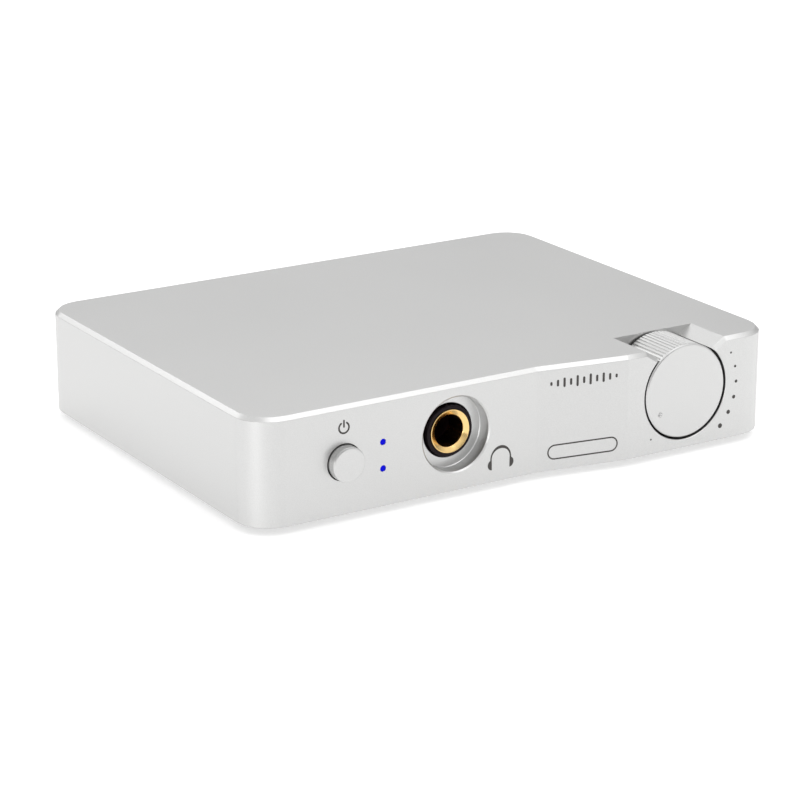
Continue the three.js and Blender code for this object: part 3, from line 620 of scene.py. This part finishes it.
def break_notch_edges(shell):
    """Takes the burr off the notch's edges in the top, which leaves a fine bright line."""
    made = bmesh.new()
    made.from_mesh(shell.data)
    near = RIGHT_FRONT + CHAMFER - 0.1
    far = NOTCH_BACK + 0.01
    edges = []
    for edge in made.edges:
        ends = [corner.co / MM for corner in edge.verts]
        level = all(abs(p.z - CASE_TOP) < 0.004 for p in ends)
        inside = all(abs(p.x - KNOB.x) < 11 and near < p.y < far for p in ends)
        if level and inside and len(edge.link_faces) == 2:
            steepness = [abs(face.normal.z) for face in edge.link_faces]
            if min(steepness) < 0.95 < max(steepness):
                edges.append(edge)
    bmesh.ops.bevel(made, geom=edges, offset=0.11 * MM, segments=2, affect="EDGES", profile=0.5)
    made.to_mesh(shell.data)
    made.free()


def make_case():
    shell = carve(case_block(), case_cutters())
    break_notch_edges(shell)
    finished(shell, "case", "anodised_aluminium", ["case_shell"])


# --- Print on the front


class Face:
    """A flat part of the front, with a place on it given along it, up it and out of it."""

    def __init__(self, start, along):
        self.start = Vector(start)
        self.along = Vector(along).normalized()
        self.up = Vector((0, 0, 1))
        self.out = self.along.cross(self.up)

    def at(self, u, v, out):
        return self.start + self.along * u + self.up * v + self.out * out


LEFT_FACE = Face((CASE_LOW.x, LEFT_FRONT + SKIN, CASE_UNDER), (1, 0, 0))
RAMP_FACE = Face((RAMP_START, LEFT_FRONT + SKIN, CASE_UNDER), (RAMP_END - RAMP_START, -STEP, 0))
RIGHT_FACE = Face((CASE_LOW.x, RIGHT_FRONT + SKIN, CASE_UNDER), (1, 0, 0))
PRINT_PROUD = 0.012
PRINT_SUNK = 0.03


def disc(centre, radius, count=28):
    return arc(centre, radius, 0, 360 - 360 / count, count - 1)


def arc(centre, radius, start, end, count=24):
    points = []
    for i in range(count + 1):
        angle = math.radians(start + (end - start) * i / count)
        x = centre[0] + radius * math.cos(angle)
        points.append(Vector((x, centre[1] + radius * math.sin(angle))))
    return points


def arc_band(centre, radius, width, start, end):
    """A stroke along an arc, with round ends."""
    half = width / 2
    ends = [arc((0, 0), 1, start, start)[0], arc((0, 0), 1, end, end)[0]]
    middle = [Vector(centre) + direction * radius for direction in ends]
    outer = arc(centre, radius + half, start, end)
    inner = arc(centre, radius - half, end, start)
    far_cap = arc(middle[1], half, end, end + 180, 8)[1:-1]
    near_cap = arc(middle[0], half, start + 180, start + 360, 8)[1:-1]
    return outer + far_cap + inner + near_cap


def bar(centre, width, height):
    """An upright bar with round ends."""
    half = width / 2
    reach = height / 2 - half
    upper = arc((centre[0], centre[1] + reach), half, 0, 180, 10)
    lower = arc((centre[0], centre[1] - reach), half, 180, 360, 10)
    return upper + lower


def print_shapes(name, face, outlines, bands=()):
    """Ink on a face: each outline becomes a thin slab, just proud of the metal, and so does the
    space between the two loops of each band."""
    points = []
    faces = []
    for outer, inner in bands:
        faces += skin_faces(4, len(outer), closed=True, first=len(points))
        for loop, out in (
            (outer, PRINT_PROUD), (inner, PRINT_PROUD), (inner, -PRINT_SUNK), (outer, -PRINT_SUNK)
        ):
            points += [face.at(p.x, p.y, out) for p in loop]
    for outline in outlines:
        faces += skin_faces(2, len(outline), first=len(points))
        for out in (-PRINT_SUNK, PRINT_PROUD):
            points += [face.at(p.x, p.y, out) for p in outline]
    piece = make_mesh(name, points, faces)
    piece.data.materials.append(ink)
    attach(piece, "case")


def headphone_outline(centre):
    """A head band that is thickest at the crown, with an ear cup at each end, as one outline."""
    right = []
    for i in range(15):
        angle = math.pi * (i / 14 * 0.86 - 0.5)
        right.append((2.08 + 0.98 * math.cos(angle), -1.2 + 1.06 * math.sin(angle)))
    outer = []
    inner = []
    for i in range(33):
        angle = math.pi * i / 32
        half = 0.17 + 0.14 * math.sin(angle) ** 3
        for loop, reach in ((outer, 2.3 + half), (inner, 2.3 - half)):
            loop.append((reach * math.cos(angle), reach * math.sin(angle)))
    left = [(-x, y) for x, y in reversed(right)]
    loop = right + outer + left + inner[::-1]
    return [Vector((centre[0] + x, centre[1] + y)) for x, y in loop]


def pill(centre, length, height, count=14):
    """A bar with round ends, lying down."""
    radius = height / 2
    reach = length / 2 - radius
    right = arc((centre[0] + reach, centre[1]), radius, -90, 90, count)
    left = arc((centre[0] - reach, centre[1]), radius, 90, 270, count)
    return right + left


def beside_knob(reach, degrees):
    """A place on the right face, at a distance and an angle from the knob's axis."""
    turn = math.radians(degrees)
    across = KNOB.x - CASE_LOW.x + reach * math.cos(turn)
    return across, KNOB.z - CASE_UNDER + reach * math.sin(turn)


def make_print():
    power = (19.7, 17.62)
    line = 0.36
    ring = arc_band(power, 1.1, line, 124, 416)
    stroke = bar((power[0], power[1] + 0.8), line, 1.6)
    print_shapes("print_power", LEFT_FACE, [ring, stroke])

    print_shapes("print_headphones", LEFT_FACE, [headphone_outline((55.6, 4.86))])

    dots = [disc(beside_knob(13.0, 28.9 - 14.73 * i), 0.23 + 0.058 * i) for i in range(6)]
    dots.append(disc(beside_knob(12.35, -133.6), 0.2))
    print_shapes("print_volume_dots", RIGHT_FACE, dots)

    heights = [0.8, 1.4, 2.0, 1.4, 2.3, 1.4, 2.3, 1.4, 2.0, 1.4, 0.8]
    level = [bar((3.0 + 1.44 * i, 18.3), 0.5, height) for i, height in enumerate(heights)]
    print_shapes("print_level_bars", RAMP_FACE, level)
    outline = (pill((10.2, 3.9), 15.7, 3.2), pill((10.2, 3.9), 15.1, 2.6))
    print_shapes("print_outline", RAMP_FACE, [], bands=[outline])


# --- Volume knob


def knob_rings():
    """The knob from front to back: a plain bevelled rim, then the straight knurl."""
    front = KNOB_LOW.y + SKIN
    back = KNOB_HIGH.y - SKIN
    plain = KNOB_RADIUS - SKIN
    depth = 0.26
    return [
        (front, plain - 0.34, 0.0), (front + 0.06, plain - 0.2, 0.0),
        (front + 0.26, plain, 0.0), (front + 0.5, plain, 0.0),
        (front + 0.66, plain, depth * 0.75), (front + 0.86, plain, depth),
        (back - 0.5, plain, depth), (back - 0.1, plain - 0.3, 0.0), (back, plain - 0.4, 0.0),
    ]


TEETH = 75
# One tooth of the knurl, as shares of its width and depth: half a groove, a crest, half a groove.
TOOTH = [(0.0, 1.0), (0.1, 0.6), (0.2, 0.12), (0.27, 0.0), (0.73, 0.0), (0.8, 0.12), (0.9, 0.6)]


def make_knob():
    rings = []
    for y, radius, depth in knob_rings():
        ring = []
        for tooth in range(TEETH):
            for share, sunk in TOOTH:
                angle = 2 * math.pi * (tooth + share) / TEETH
                reach = radius - sunk * depth
                ring.append((KNOB.x + reach * math.cos(angle), y, KNOB.z + reach * math.sin(angle)))
        rings.append(ring)
    knob = loft("volume_knob_look", rings)
    cup_back = KNOB_HIGH.y + 1
    cup = rod_y("cup", 7.4, KNOB_LOW.y + 6.7, cup_back, KNOB, 64)
    seat = rod_y("insert_seat", 5.0, KNOB_LOW.y + 2.3, KNOB_LOW.y + 7, KNOB, 64)
    turn = math.radians(-147.4)
    centre = Vector((KNOB.x + 7.5 * math.cos(turn), 0, KNOB.z + 7.5 * math.sin(turn)))
    dimple = ball_y("dimple", 0.56, KNOB_LOW.y + SKIN - 0.16, centre)
    carve(knob, [cup, seat, dimple])
    finished(knob, "volume_knob", "knob_aluminium", ["volume_knob"], sharp=26)


def ball_y(name, radius, y, centre, count=16):
    profile = []
    for i in range(count + 1):
        angle = math.pi * i / count
        profile.append((radius * math.sin(angle), y - radius * math.cos(angle)))
    profile[0] = (0, profile[0][1])
    profile[-1] = (0, profile[-1][1])
    return turned(name, profile, centre, 32)


# --- Power button, lights and headphone jack


def make_button():
    """A turned cap: a faintly dished face, a fine bevel, and the flange that holds it in."""
    front = BUTTON_LOW.y + SKIN
    back = BUTTON_HIGH.y
    shoulder = back - 1.2
    radius = BUTTON_RADIUS - SKIN
    profile = [
        (0, front + 0.07), (1.6, front + 0.055), (2.7, front + 0.012), (radius - 0.34, front),
        (radius - 0.2, front + 0.03), (radius - 0.06, front + 0.14), (radius, front + 0.32),
        (radius, shoulder), (4.5, shoulder), (4.58, shoulder + 0.08), (4.58, back - 0.02),
        (2.0, back - 0.02), (2.0, LEFT_FRONT + 2), (0, LEFT_FRONT + 2),
    ]
    button = turned("power_button_look", profile, BUTTON, 96)
    finished(button, "power_button", "knob_aluminium", ["power_button"])


def make_light(place):
    low, high = node_box(f"light_pipe_{place}")
    centre = (low + high) / 2
    collar = high.y - 0.6
    front = LEFT_FRONT + SKIN + 0.02
    profile = [
        (0, front), (0.3, front + 0.012), (0.47, front + 0.05), (0.53, front + 0.12),
        (0.53, collar), (1.14, collar), (1.18, collar + 0.06), (1.18, high.y - 0.02),
        (0, high.y - 0.02),
    ]
    pipe = turned(f"light_pipe_{place}_look", profile, centre, 40)
    finished(pipe, "case", "blue_light", [f"light_pipe_{place}"])


def make_jack():
    """The moulded jack: its nose in the recess, the body behind, and the dark bore for the plug."""
    low, high = node_box("headphone_jack_body")
    shoulder = LEFT_FRONT + WALL_FRONT + 0.07
    body = rounded_box("headphone_jack_body_look", (low.x, shoulder, low.z), high, 0.35)
    nose_profile = [
        (0, NOSE_FACE + SKIN), (NOSE_RADIUS - SKIN - 0.14, NOSE_FACE + SKIN),
        (NOSE_RADIUS - SKIN - 0.04, NOSE_FACE + SKIN + 0.04),
        (NOSE_RADIUS - SKIN, NOSE_FACE + SKIN + 0.14), (NOSE_RADIUS - SKIN, shoulder + 1),
        (0, shoulder + 1),
    ]
    nose = turned("nose", nose_profile, JACK, 96)
    carve(body, [nose], "UNION")
    seat_back = FERRULE_HIGH.y + 0.05
    bore_end = LEFT_FRONT + 33.5
    seat = rod_y("ferrule_seat", FERRULE_RADIUS + 0.05, NOSE_FACE - 1, seat_back, JACK, 96)
    bore = rod_y("bore", 3.4, NOSE_FACE, bore_end, JACK, 64)
    slot_low = (JACK.x - 5.9, LEFT_FRONT + 14, JACK.z - 1.2)
    slot_high = (JACK.x + 5.9, LEFT_FRONT + 32.6, JACK.z + 1.2)
    carve(body, [seat, bore, box_mesh("slot", slot_low, slot_high)])
    finished(body, "case", "black_plastic", ["headphone_jack_body"], look=jack_plastic)


def make_ferrule():
    """The gold ring: a narrow lip round a shallow dish, and a tube behind it."""
    front = FERRULE_LOW.y + SKIN
    back = FERRULE_HIGH.y - SKIN
    outer = FERRULE_RADIUS - SKIN
    bore = FERRULE_BORE
    profile = [
        (bore, front + 0.72), (bore + 0.03, front + 0.58), (bore + 0.12, front + 0.48),
        (bore + 0.96, front + 0.05), (bore + 1.01, front + 0.01), (bore + 1.06, front),
        (outer - 0.06, front + 0.01), (outer - 0.02, front + 0.05), (outer, front + 0.12),
        (outer, back), (bore, back),
    ]
    ferrule = turned("headphone_jack_ferrule_look", profile, JACK, 128, closed=True)
    finished(ferrule, "case", "gold_plate", ["headphone_jack_ferrule"], sharp=50)


def box_mesh(name, low, high):
    outline = [Vector(p) for p in rectangle((low[0], low[1]), (high[0], high[1]))]
    return upright(name, outline, low[2], high[2])


def rounded_box(name, low, high, edge, segments=3):
    """A box with all its edges rounded."""
    piece = box_mesh(name, low, high)
    made = bmesh.new()
    made.from_mesh(piece.data)
    bmesh.ops.bevel(
        made, geom=made.edges[:], offset=edge * MM, segments=segments, affect="EDGES", profile=0.5
    )
    made.to_mesh(piece.data)
    made.free()
    return piece


# --- Underside and back


def make_bottom_plate():
    low, high = PLATE_LOW, PLATE_HIGH
    gap = 0.3
    block_x = RAMP_END - gap
    block_back = BLOCK_BACK + gap
    corners = [
        (low.x, low.y), (block_x, low.y), (block_x, block_back), (high.x, block_back),
        (high.x, high.y), (low.x, high.y),
    ]
    outline = rounded(corners, [4.5, 0.4, 0.6, 0.4, 4.5, 4.5], 8)
    profile = [(0.2, low.z), (0.0, low.z + 0.2), (0.0, high.z - 0.02)]
    plate = stacked("bottom_plate_look", inset(outline, SKIN), profile)
    cutters = []
    for corner in CORNERS:
        centre = node_centre(f"bottom_screw_{corner}")
        profile = [
            (0, low.z - 1), (2.55, low.z - 1), (2.55, low.z), (2.4, low.z + 0.12),
            (SCREW_HOLE, low.z + 1.2), (SCREW_HOLE, low.z + 3), (0, low.z + 3),
        ]
        cutters.append(turned_upright(f"sink_{corner}", profile, centre, 48))
    carve(plate, cutters)
    finished(plate, "case", "anodised_aluminium", ["bottom_plate"])


def thread(radius, start, end):
    """A screw's thread along its axis, as part of a profile."""
    profile = []
    while start < end:
        profile += [(radius, start), (SCREW_CORE, start + 0.12), (radius, start + 0.24)]
        start += 0.4
    return profile


def make_bottom_screw(corner):
    name = f"bottom_screw_{corner}"
    low, high = node_box(name)
    centre = (low + high) / 2
    head = SCREW_HEAD - SKIN
    profile = [
        (0, low.z + SKIN), (head - 0.14, low.z + SKIN), (head, low.z + 0.14),
        (1.1, low.z + 1.12), *thread(1.1 - SKIN, low.z + 1.4, high.z - 0.5),
        (0.8, high.z - SKIN), (0, high.z - SKIN),
    ]
    screw = turned_upright(f"{name}_look", profile, centre, 40)
    hexagon = [Vector((centre.x, centre.y)) + point for point in disc((0, 0), HEX_SOCKET, 6)]
    carve(screw, [upright("socket", hexagon, low.z - 1, low.z + 0.7)])
    finished(screw, "case", "screw_steel", [name])


def make_foot(corner):
    """A moulded rubber foot: a round edge, a shallow ring groove and a slightly sunk middle."""
    name = f"foot_{corner}"
    low, high = node_box(name)
    centre = (low + high) / 2
    radius = (high.x - low.x) / 2 - SKIN
    profile = [
        (0, low.z + 0.22), (2.2, low.z + 0.2), (2.5, low.z + 0.03), (2.62, low.z), (3.2, low.z),
        (3.3, low.z + 0.16), (3.46, low.z + 0.16), (3.56, low.z), (radius - 0.42, low.z),
        (radius - 0.16, low.z + 0.1), (radius - 0.03, low.z + 0.3), (radius, low.z + 0.6),
        (radius, high.z - 0.01), (0, high.z - 0.01),
    ]
    foot = turned_upright(f"{name}_look", profile, centre, 72)
    finished(foot, "case", "foot_rubber", [name], sharp=50)


def make_rear_panel():
    low, high = PANEL_LOW, PANEL_HIGH
    outline = box_outline(low, high, [0.4, 0.4, 0.9, 0.9])
    stations = [(low.y, -SKIN), (high.y - SKIN - 0.22, -SKIN), (high.y - SKIN, -SKIN - 0.22)]
    panel = along_y("rear_panel_look", outline, stations)
    cutters = []
    back = high.y - SKIN
    for name in ("coax_in", "line_out_right", "line_out_left"):
        centre = node_centre(f"{name}_barrel")
        cutters.append(rear_hole(f"{name}_hole", 4.4, centre))
    for side in SIDES:
        centre = node_centre(f"rear_screw_{side}")
        cutters.append(rear_hole(f"screw_hole_{side}", SCREW_HOLE, centre))
    for node in ("usb_shell", "optical_housing"):
        hole = box_outline(*node_box(node), [0.5] * 4, gap=0.3)
        stations = [(low.y - 1, 0), (back - 0.15, 0), (back + 0.5, 0.65)]
        cutters.append(along_y(f"{node}_hole", hole, stations))
    carve(panel, cutters)
    finished(panel, "case", "anodised_aluminium", ["rear_panel"])


def rear_hole(name, radius, centre):
    front = PANEL_LOW.y - 1
    back = PANEL_HIGH.y - SKIN
    profile = [
        (0, front), (radius, front), (radius, back - 0.15), (radius + 0.65, back + 0.5),
        (0, back + 0.5),
    ]
    return turned(name, profile, centre, 72)


def make_rear_screw(side):
    """A pan-head screw with a hexagon socket."""
    name = f"rear_screw_{side}"
    low, high = node_box(name)
    centre = (low + high) / 2
    seat = high.y - 1.2
    head = SCREW_HEAD - SKIN
    profile = [
        (0, low.y + SKIN), (0.8, low.y + SKIN), *thread(1.08, low.y + 0.5, seat - 0.5),
        (1.08, seat), (head, seat), (head, high.y - 0.5), (head - 0.12, high.y - 0.24),
        (head - 0.42, high.y - 0.08), (head - 0.9, high.y - SKIN), (0, high.y - SKIN),
    ]
    screw = turned(f"{name}_look", profile, centre, 40)
    carve(screw, [rod_y("socket", HEX_SOCKET, high.y - 0.8, high.y + 1, centre, 6)])
    finished(screw, "case", "screw_steel", [name])


def make_phono(name, plastic):
    """A phono socket: a gold barrel with a flange, and a coloured insulator in its mouth."""
    low, high = node_box(f"{name}_barrel")
    centre = (low + high) / 2
    outer = 4.1 - SKIN
    bore = 3.4 + 0.01
    flange = (high.x - low.x) / 2 - SKIN
    panel = PANEL_HIGH.y
    back = high.y - SKIN
    profile = [
        (bore, back - 0.1), (bore + 0.1, back), (outer - 0.3, back), (outer - 0.08, back - 0.1),
        (outer, back - 0.34), (outer, panel + 1.1), (outer + 0.08, panel + 0.92),
        (flange - 0.2, panel + 0.88), (flange, panel + 0.68), (flange, panel + 0.05),
        (outer, panel + 0.05), (outer, low.y), (bore, low.y),
    ]
    barrel = turned(f"{name}_barrel_look", profile, centre, 96, closed=True)
    finished(barrel, "case", "gold_plate", [f"{name}_barrel"])

    low, high = node_box(f"{name}_insulator")
    radius = (high.x - low.x) / 2 - SKIN
    hole = 1.7
    back = high.y - SKIN
    profile = [
        (0, low.y + SKIN), (radius, low.y + SKIN), (radius, back - 0.16), (radius - 0.16, back),
        (2.75, back), (2.68, back - 0.18), (2.5, back - 0.18), (2.42, back),
        (hole + 0.28, back), (hole + 0.06, back - 0.12), (hole, back - 0.34),
        (hole, low.y + 1.6), (0, low.y + 1.6),
    ]
    insulator = turned(f"{name}_insulator_look", profile, centre, 72)
    finished(insulator, "case", plastic, [f"{name}_insulator"])


def make_usb():
    """A type B socket: a folded steel shell with two springs, and the tongue with its contacts."""
    low, high = node_box("usb_shell")
    wall = 0.5
    outline = inset(box_outline(low, high, [0.5] * 4), SKIN)
    stations = [(low.y, 0), (high.y - SKIN - 0.1, 0), (high.y - SKIN, -0.1)]
    shell = along_y("usb_shell_look", outline, stations)
    mouth = box_outline(low, high, [0.3, 0.3, 1.9, 1.9], -wall, 1)
    stations = [(low.y + wall, 0), (high.y - 0.2, 0), (high.y + 0.3, 0.5)]
    cutters = [along_y("cavity", mouth, stations)]
    for side in (-1, 1):
        x = (low.x + high.x) / 2 + side * ((high.x - low.x) / 2 - 0.3)
        for z in (low.z + 3.4, low.z + 6.6):
            slot_low = (x - 0.6, high.y - 6.2, z)
            slot_high = (x + 0.6, high.y - 1.6, z + 0.35)
            cutters.append(box_mesh("slot", slot_low, slot_high))
    carve(shell, cutters)
    finished(shell, "case", "steel", ["usb_shell"])

    low, high = node_box("usb_tongue")
    middle = (low + high) / 2
    end = high.y
    tongue = rounded_box(
        "usb_tongue_look",
        (middle.x - 2.8 + SKIN, low.y + 4, middle.z - 1.6 + SKIN),
        (middle.x + 2.8 - SKIN, end - SKIN, middle.z + 1.6 - SKIN),
        0.22,
    )
    block_low = (low.x + SKIN, low.y + SKIN, low.z + SKIN)
    block_high = (high.x - SKIN, low.y + 4.45 - SKIN, high.z - SKIN)
    block = rounded_box("block", block_low, block_high, 0.2)
    carve(tongue, [block], "UNION")
    finished(tongue, "case", "white_plastic", ["usb_tongue"])
    for above in (-1, 1):
        for side in (-1, 1):
            x = middle.x + side * 1.25
            z = middle.z + above * (1.6 - 0.06)
            strip_low = (x - 0.5, low.y + 5, z - 0.08)
            strip_high = (x + 0.5, end - 0.5, z + 0.045)
            name = f"usb_contact_{above + 2}_{side + 2}"
            strip = rounded_box(name, strip_low, strip_high, 0.03, 1)
            finished(strip, "case", "gold_plate")


def make_optical():
    """The optical socket: a moulded housing with a square mouth behind a hinged dust shutter."""
    low, high = node_box("optical_housing")
    inner_low, inner_high = node_box("optical_shutter")
    middle = (low + high) / 2
    half = 3.2
    outline = inset(box_outline(low, high, [0.5] * 4), SKIN)
    stations = [(low.y, 0), (high.y - SKIN - 0.2, 0), (high.y - SKIN, -0.2)]
    housing = along_y("optical_housing_look", outline, stations)
    mouth = box_outline(middle, middle, [0.15] * 4, half, 4)
    cavity = along_y("mouth", mouth, [(low.y + 3, 0), (high.y - 0.25, 0), (high.y + 0.25, 0.5)])
    pivot_z = middle.z + half - 0.5
    pivot_y = (inner_low.y + inner_high.y) / 2
    pin_hole = rod_x("pin_hole", 0.42, middle.x, half + 0.9, pivot_y, pivot_z)
    carve(housing, [cavity, pin_hole])
    finished(housing, "case", "black_plastic", ["optical_housing"])


def make_shutter():
    """The dust shutter: a rounded flap with a shallow recess in its face, and its two pins."""
    low, high = node_box("optical_shutter")
    housing_low, housing_high = node_box("optical_housing")
    middle = (housing_low + housing_high) / 2
    side = 3.0 - SKIN
    pivot_z = middle.z + 2.7
    pivot_y = (low.y + high.y) / 2
    half = (high.y - low.y) / 2 - SKIN
    flap_low = (middle.x - side, pivot_y - half, low.z + SKIN)
    flap_high = (middle.x + side, pivot_y + half, pivot_z)
    flap = rounded_box("optical_shutter_look", flap_low, flap_high, 0.12)
    for name, radius, reach in (("edge", half, side), ("pin", 0.29, high.x - middle.x - SKIN)):
        carve(flap, [rod_x(name, radius, middle.x, reach, pivot_y, pivot_z)], "UNION")
    sunk = rectangle((middle.x - 2.4, low.z + 0.6), (middle.x + 2.4, pivot_z - 0.5))
    stations = [(pivot_y + half - 0.12, 0), (pivot_y + half + 0.4, 0.3)]
    recess = along_y("recess", rounded(sunk, [0.3] * 4), stations)
    carve(flap, [recess])
    finished(flap, "optical_shutter", "black_plastic", ["optical_shutter"])


def make_spring():
    """The coil spring round the plunger, with a closed turn at each end."""
    low, high = node_box("power_switch_spring")
    wire = 0.25 - SKIN
    turns = 6.0
    closed = 0.75
    length = high.y - low.y - 2 * (wire + SKIN)
    radius = (high.x - low.x) / 2 - wire - SKIN
    steps = 240
    round_steps = 10
    points = []
    for i in range(steps + 1):
        turn = turns * i / steps
        share = min(max((turn - closed) / (turns - 2 * closed), 0), 1)
        pitch = 2 * wire + 0.02
        y = low.y + wire + SKIN + min(turn, closed) * pitch
        y += share * (length - 2 * closed * pitch) + max(turn - turns + closed, 0) * pitch
        angle = 2 * math.pi * turn
        out = Vector((math.cos(angle), 0, math.sin(angle)))
        middle = Vector((BUTTON.x, y, BUTTON.z)) + out * radius
        for across, along in circle(0, 0, 1, round_steps):
            points.append(middle + (out * across + Vector((0, along, 0))) * wire)
    rings = [points[i * round_steps:(i + 1) * round_steps] for i in range(steps + 1)]
    spring = loft("power_switch_spring_look", rings)
    finished(spring, "case", "steel", ["power_switch_spring"], sharp=60)
    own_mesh(spring)


INSIDE = {
    "main_board": ("board_laminate", 0.0),
    "knob_insert": ("brass", 0.15),
    "volume_pot_body": ("steel", 0.2),
    "volume_pot_shaft": ("steel", 0.0),
    "volume_pot_nut": ("steel", 0.15),
    "power_switch_plunger": ("white_plastic", 0.15),
    "power_switch_body": ("black_plastic", 0.2),
    "led_holder": ("black_plastic", 0.2),
    "led_lower": ("blue_light", 0.0),
    "led_upper": ("blue_light", 0.0),
    "jack_ring_contact": ("gold_plate", 0.05),
    "jack_tip_contact": ("gold_plate", 0.05),
    "phono_block": ("black_plastic", 0.3),
    "usb_chip": ("chip_plastic", 0.0),
    "converter_chip": ("chip_plastic", 0.0),
    "amplifier_chip": ("chip_plastic", 0.0),
    "clock_crystal": ("steel", 0.0),
    **{f"standoff_{i}": ("brass", 0.0) for i in range(1, 5)},
    **{f"board_screw_{i}": ("screw_steel", 0.1) for i in range(1, 5)},
    **{f"capacitor_{i}": ("capacitor_sleeve", 0.0) for i in range(1, 4)},
}


def dress_inside():
    """The parts inside the case keep their CAD meshes, with their own materials and eased edges."""
    for name, (slot, edge) in INSIDE.items():
        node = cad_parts[name]
        node.data.materials.clear()
        node.data.materials.append(SLOT_LOOKS[slot])
        if edge:
            eased = node.modifiers.new("eased_edges", "BEVEL")
            eased.width = edge * MM
            eased.segments = 2
            eased.limit_method = "ANGLE"
            eased.angle_limit = math.radians(50)


# --- Floor, light and camera


def make_floor():
    reach = 4000
    corners = [(x, y, 0) for x, y in rectangle((-reach, -reach), (reach, reach))]
    floor = make_mesh("floor", corners, [(0, 1, 2, 3)])
    look = Look("floor_paper")
    cloud = look.noise(60.0, 2.0)
    paper = look.blend(cloud, (0.68, 0.68, 0.68), (0.70, 0.70, 0.70))
    look.colour(paper)
    look.links.new(paper, look.shader.inputs["Emission Color"])
    look.fix("Emission Strength", 0.68)
    look.fix("Roughness", 0.9)
    look.fix("Specular IOR Level", 0.1)
    floor.data.materials.append(look.material)


def softbox(name, place, target, width, height, power):
    light = bpy.data.lights.new(name, "AREA")
    light.shape = "RECTANGLE"
    light.size = width
    light.size_y = height
    light.energy = power
    holder = bpy.data.objects.new(name, light)
    holder.location = place
    holder.rotation_euler = (Vector(target) - Vector(place)).to_track_quat("-Z", "Y").to_euler()
    bpy.context.scene.collection.objects.link(holder)


def make_light_and_camera():
    scene = bpy.context.scene
    world = bpy.data.worlds.new("studio")
    world.use_nodes = True
    nodes = world.node_tree.nodes
    links = world.node_tree.links
    background = nodes["Background"]
    background.inputs["Color"].default_value = (1.0, 1.0, 1.0, 1)
    place = nodes.new("ShaderNodeTexCoord")
    split = nodes.new("ShaderNodeSeparateXYZ")
    links.new(place.outputs["Generated"], split.inputs["Vector"])
    # The sky is darker towards the horizon, and darkest low in front.
    rise = map_range(world.node_tree, split.outputs["Z"], 0.44, 0.98, (0.08, 0.6))
    toward = nodes.new("ShaderNodeVectorMath")
    toward.operation = "DOT_PRODUCT"
    toward.inputs[1].default_value = Vector((0.12, -0.96, 0.24)).normalized()
    links.new(place.outputs["Generated"], toward.inputs[0])
    shade = map_range(world.node_tree, toward.outputs["Value"], 1.0, 0.15, (0.88, 0.985))
    product = nodes.new("ShaderNodeMath")
    product.operation = "MULTIPLY"
    links.new(rise, product.inputs[0])
    links.new(shade, product.inputs[1])
    links.new(product.outputs["Value"], background.inputs["Strength"])
    scene.world = world
    softbox("overhead_softbox", (0.25, -0.2, 0.95), (0, 0, 0), 1.0, 0.8, 2.5)
    softbox("back_softbox", (0.25, 0.66, 0.46), (0, 0, 0), 0.6, 0.14, 0.2)
    softbox("edge_softbox", (-0.31, 0.88, 0.62), (0, 0, 0), 0.46, 0.4, 0.85)
    softbox("left_softbox", (-1.0, -0.46, 0.085), (0, 0, 0.03), 0.5, 0.15, 1.5)
    softbox("right_softbox", (0.8, -0.8, 0.22), (0, 0, 0), 0.6, 0.42, 0.4)
    camera = bpy.data.objects.new("camera", bpy.data.cameras.new("camera"))
    camera.location = (-0.2901, -0.4684, 0.187)
    camera.rotation_euler = (math.radians(90 - 18.368), 0, math.radians(-31.89))
    camera.data.lens = 122.88
    camera.data.clip_start = 0.01
    camera.data.clip_end = 100
    scene.collection.objects.link(camera)
    scene.camera = camera
    scene.view_settings.view_transform = "Standard"
    scene.view_settings.look = "None"


make_case()
make_print()
make_knob()
make_button()
for light_place in ("lower", "upper"):
    make_light(light_place)
make_jack()
make_ferrule()
make_bottom_plate()
for corner_name in CORNERS:
    make_foot(corner_name)
    make_bottom_screw(corner_name)
make_rear_panel()
for side_name in SIDES:
    make_rear_screw(side_name)
make_phono("coax_in", "orange_plastic")
make_phono("line_out_right", "red_plastic")
make_phono("line_out_left", "white_plastic")
make_usb()
make_optical()
make_shutter()
make_spring()
dress_inside()
make_floor()
make_light_and_camera()
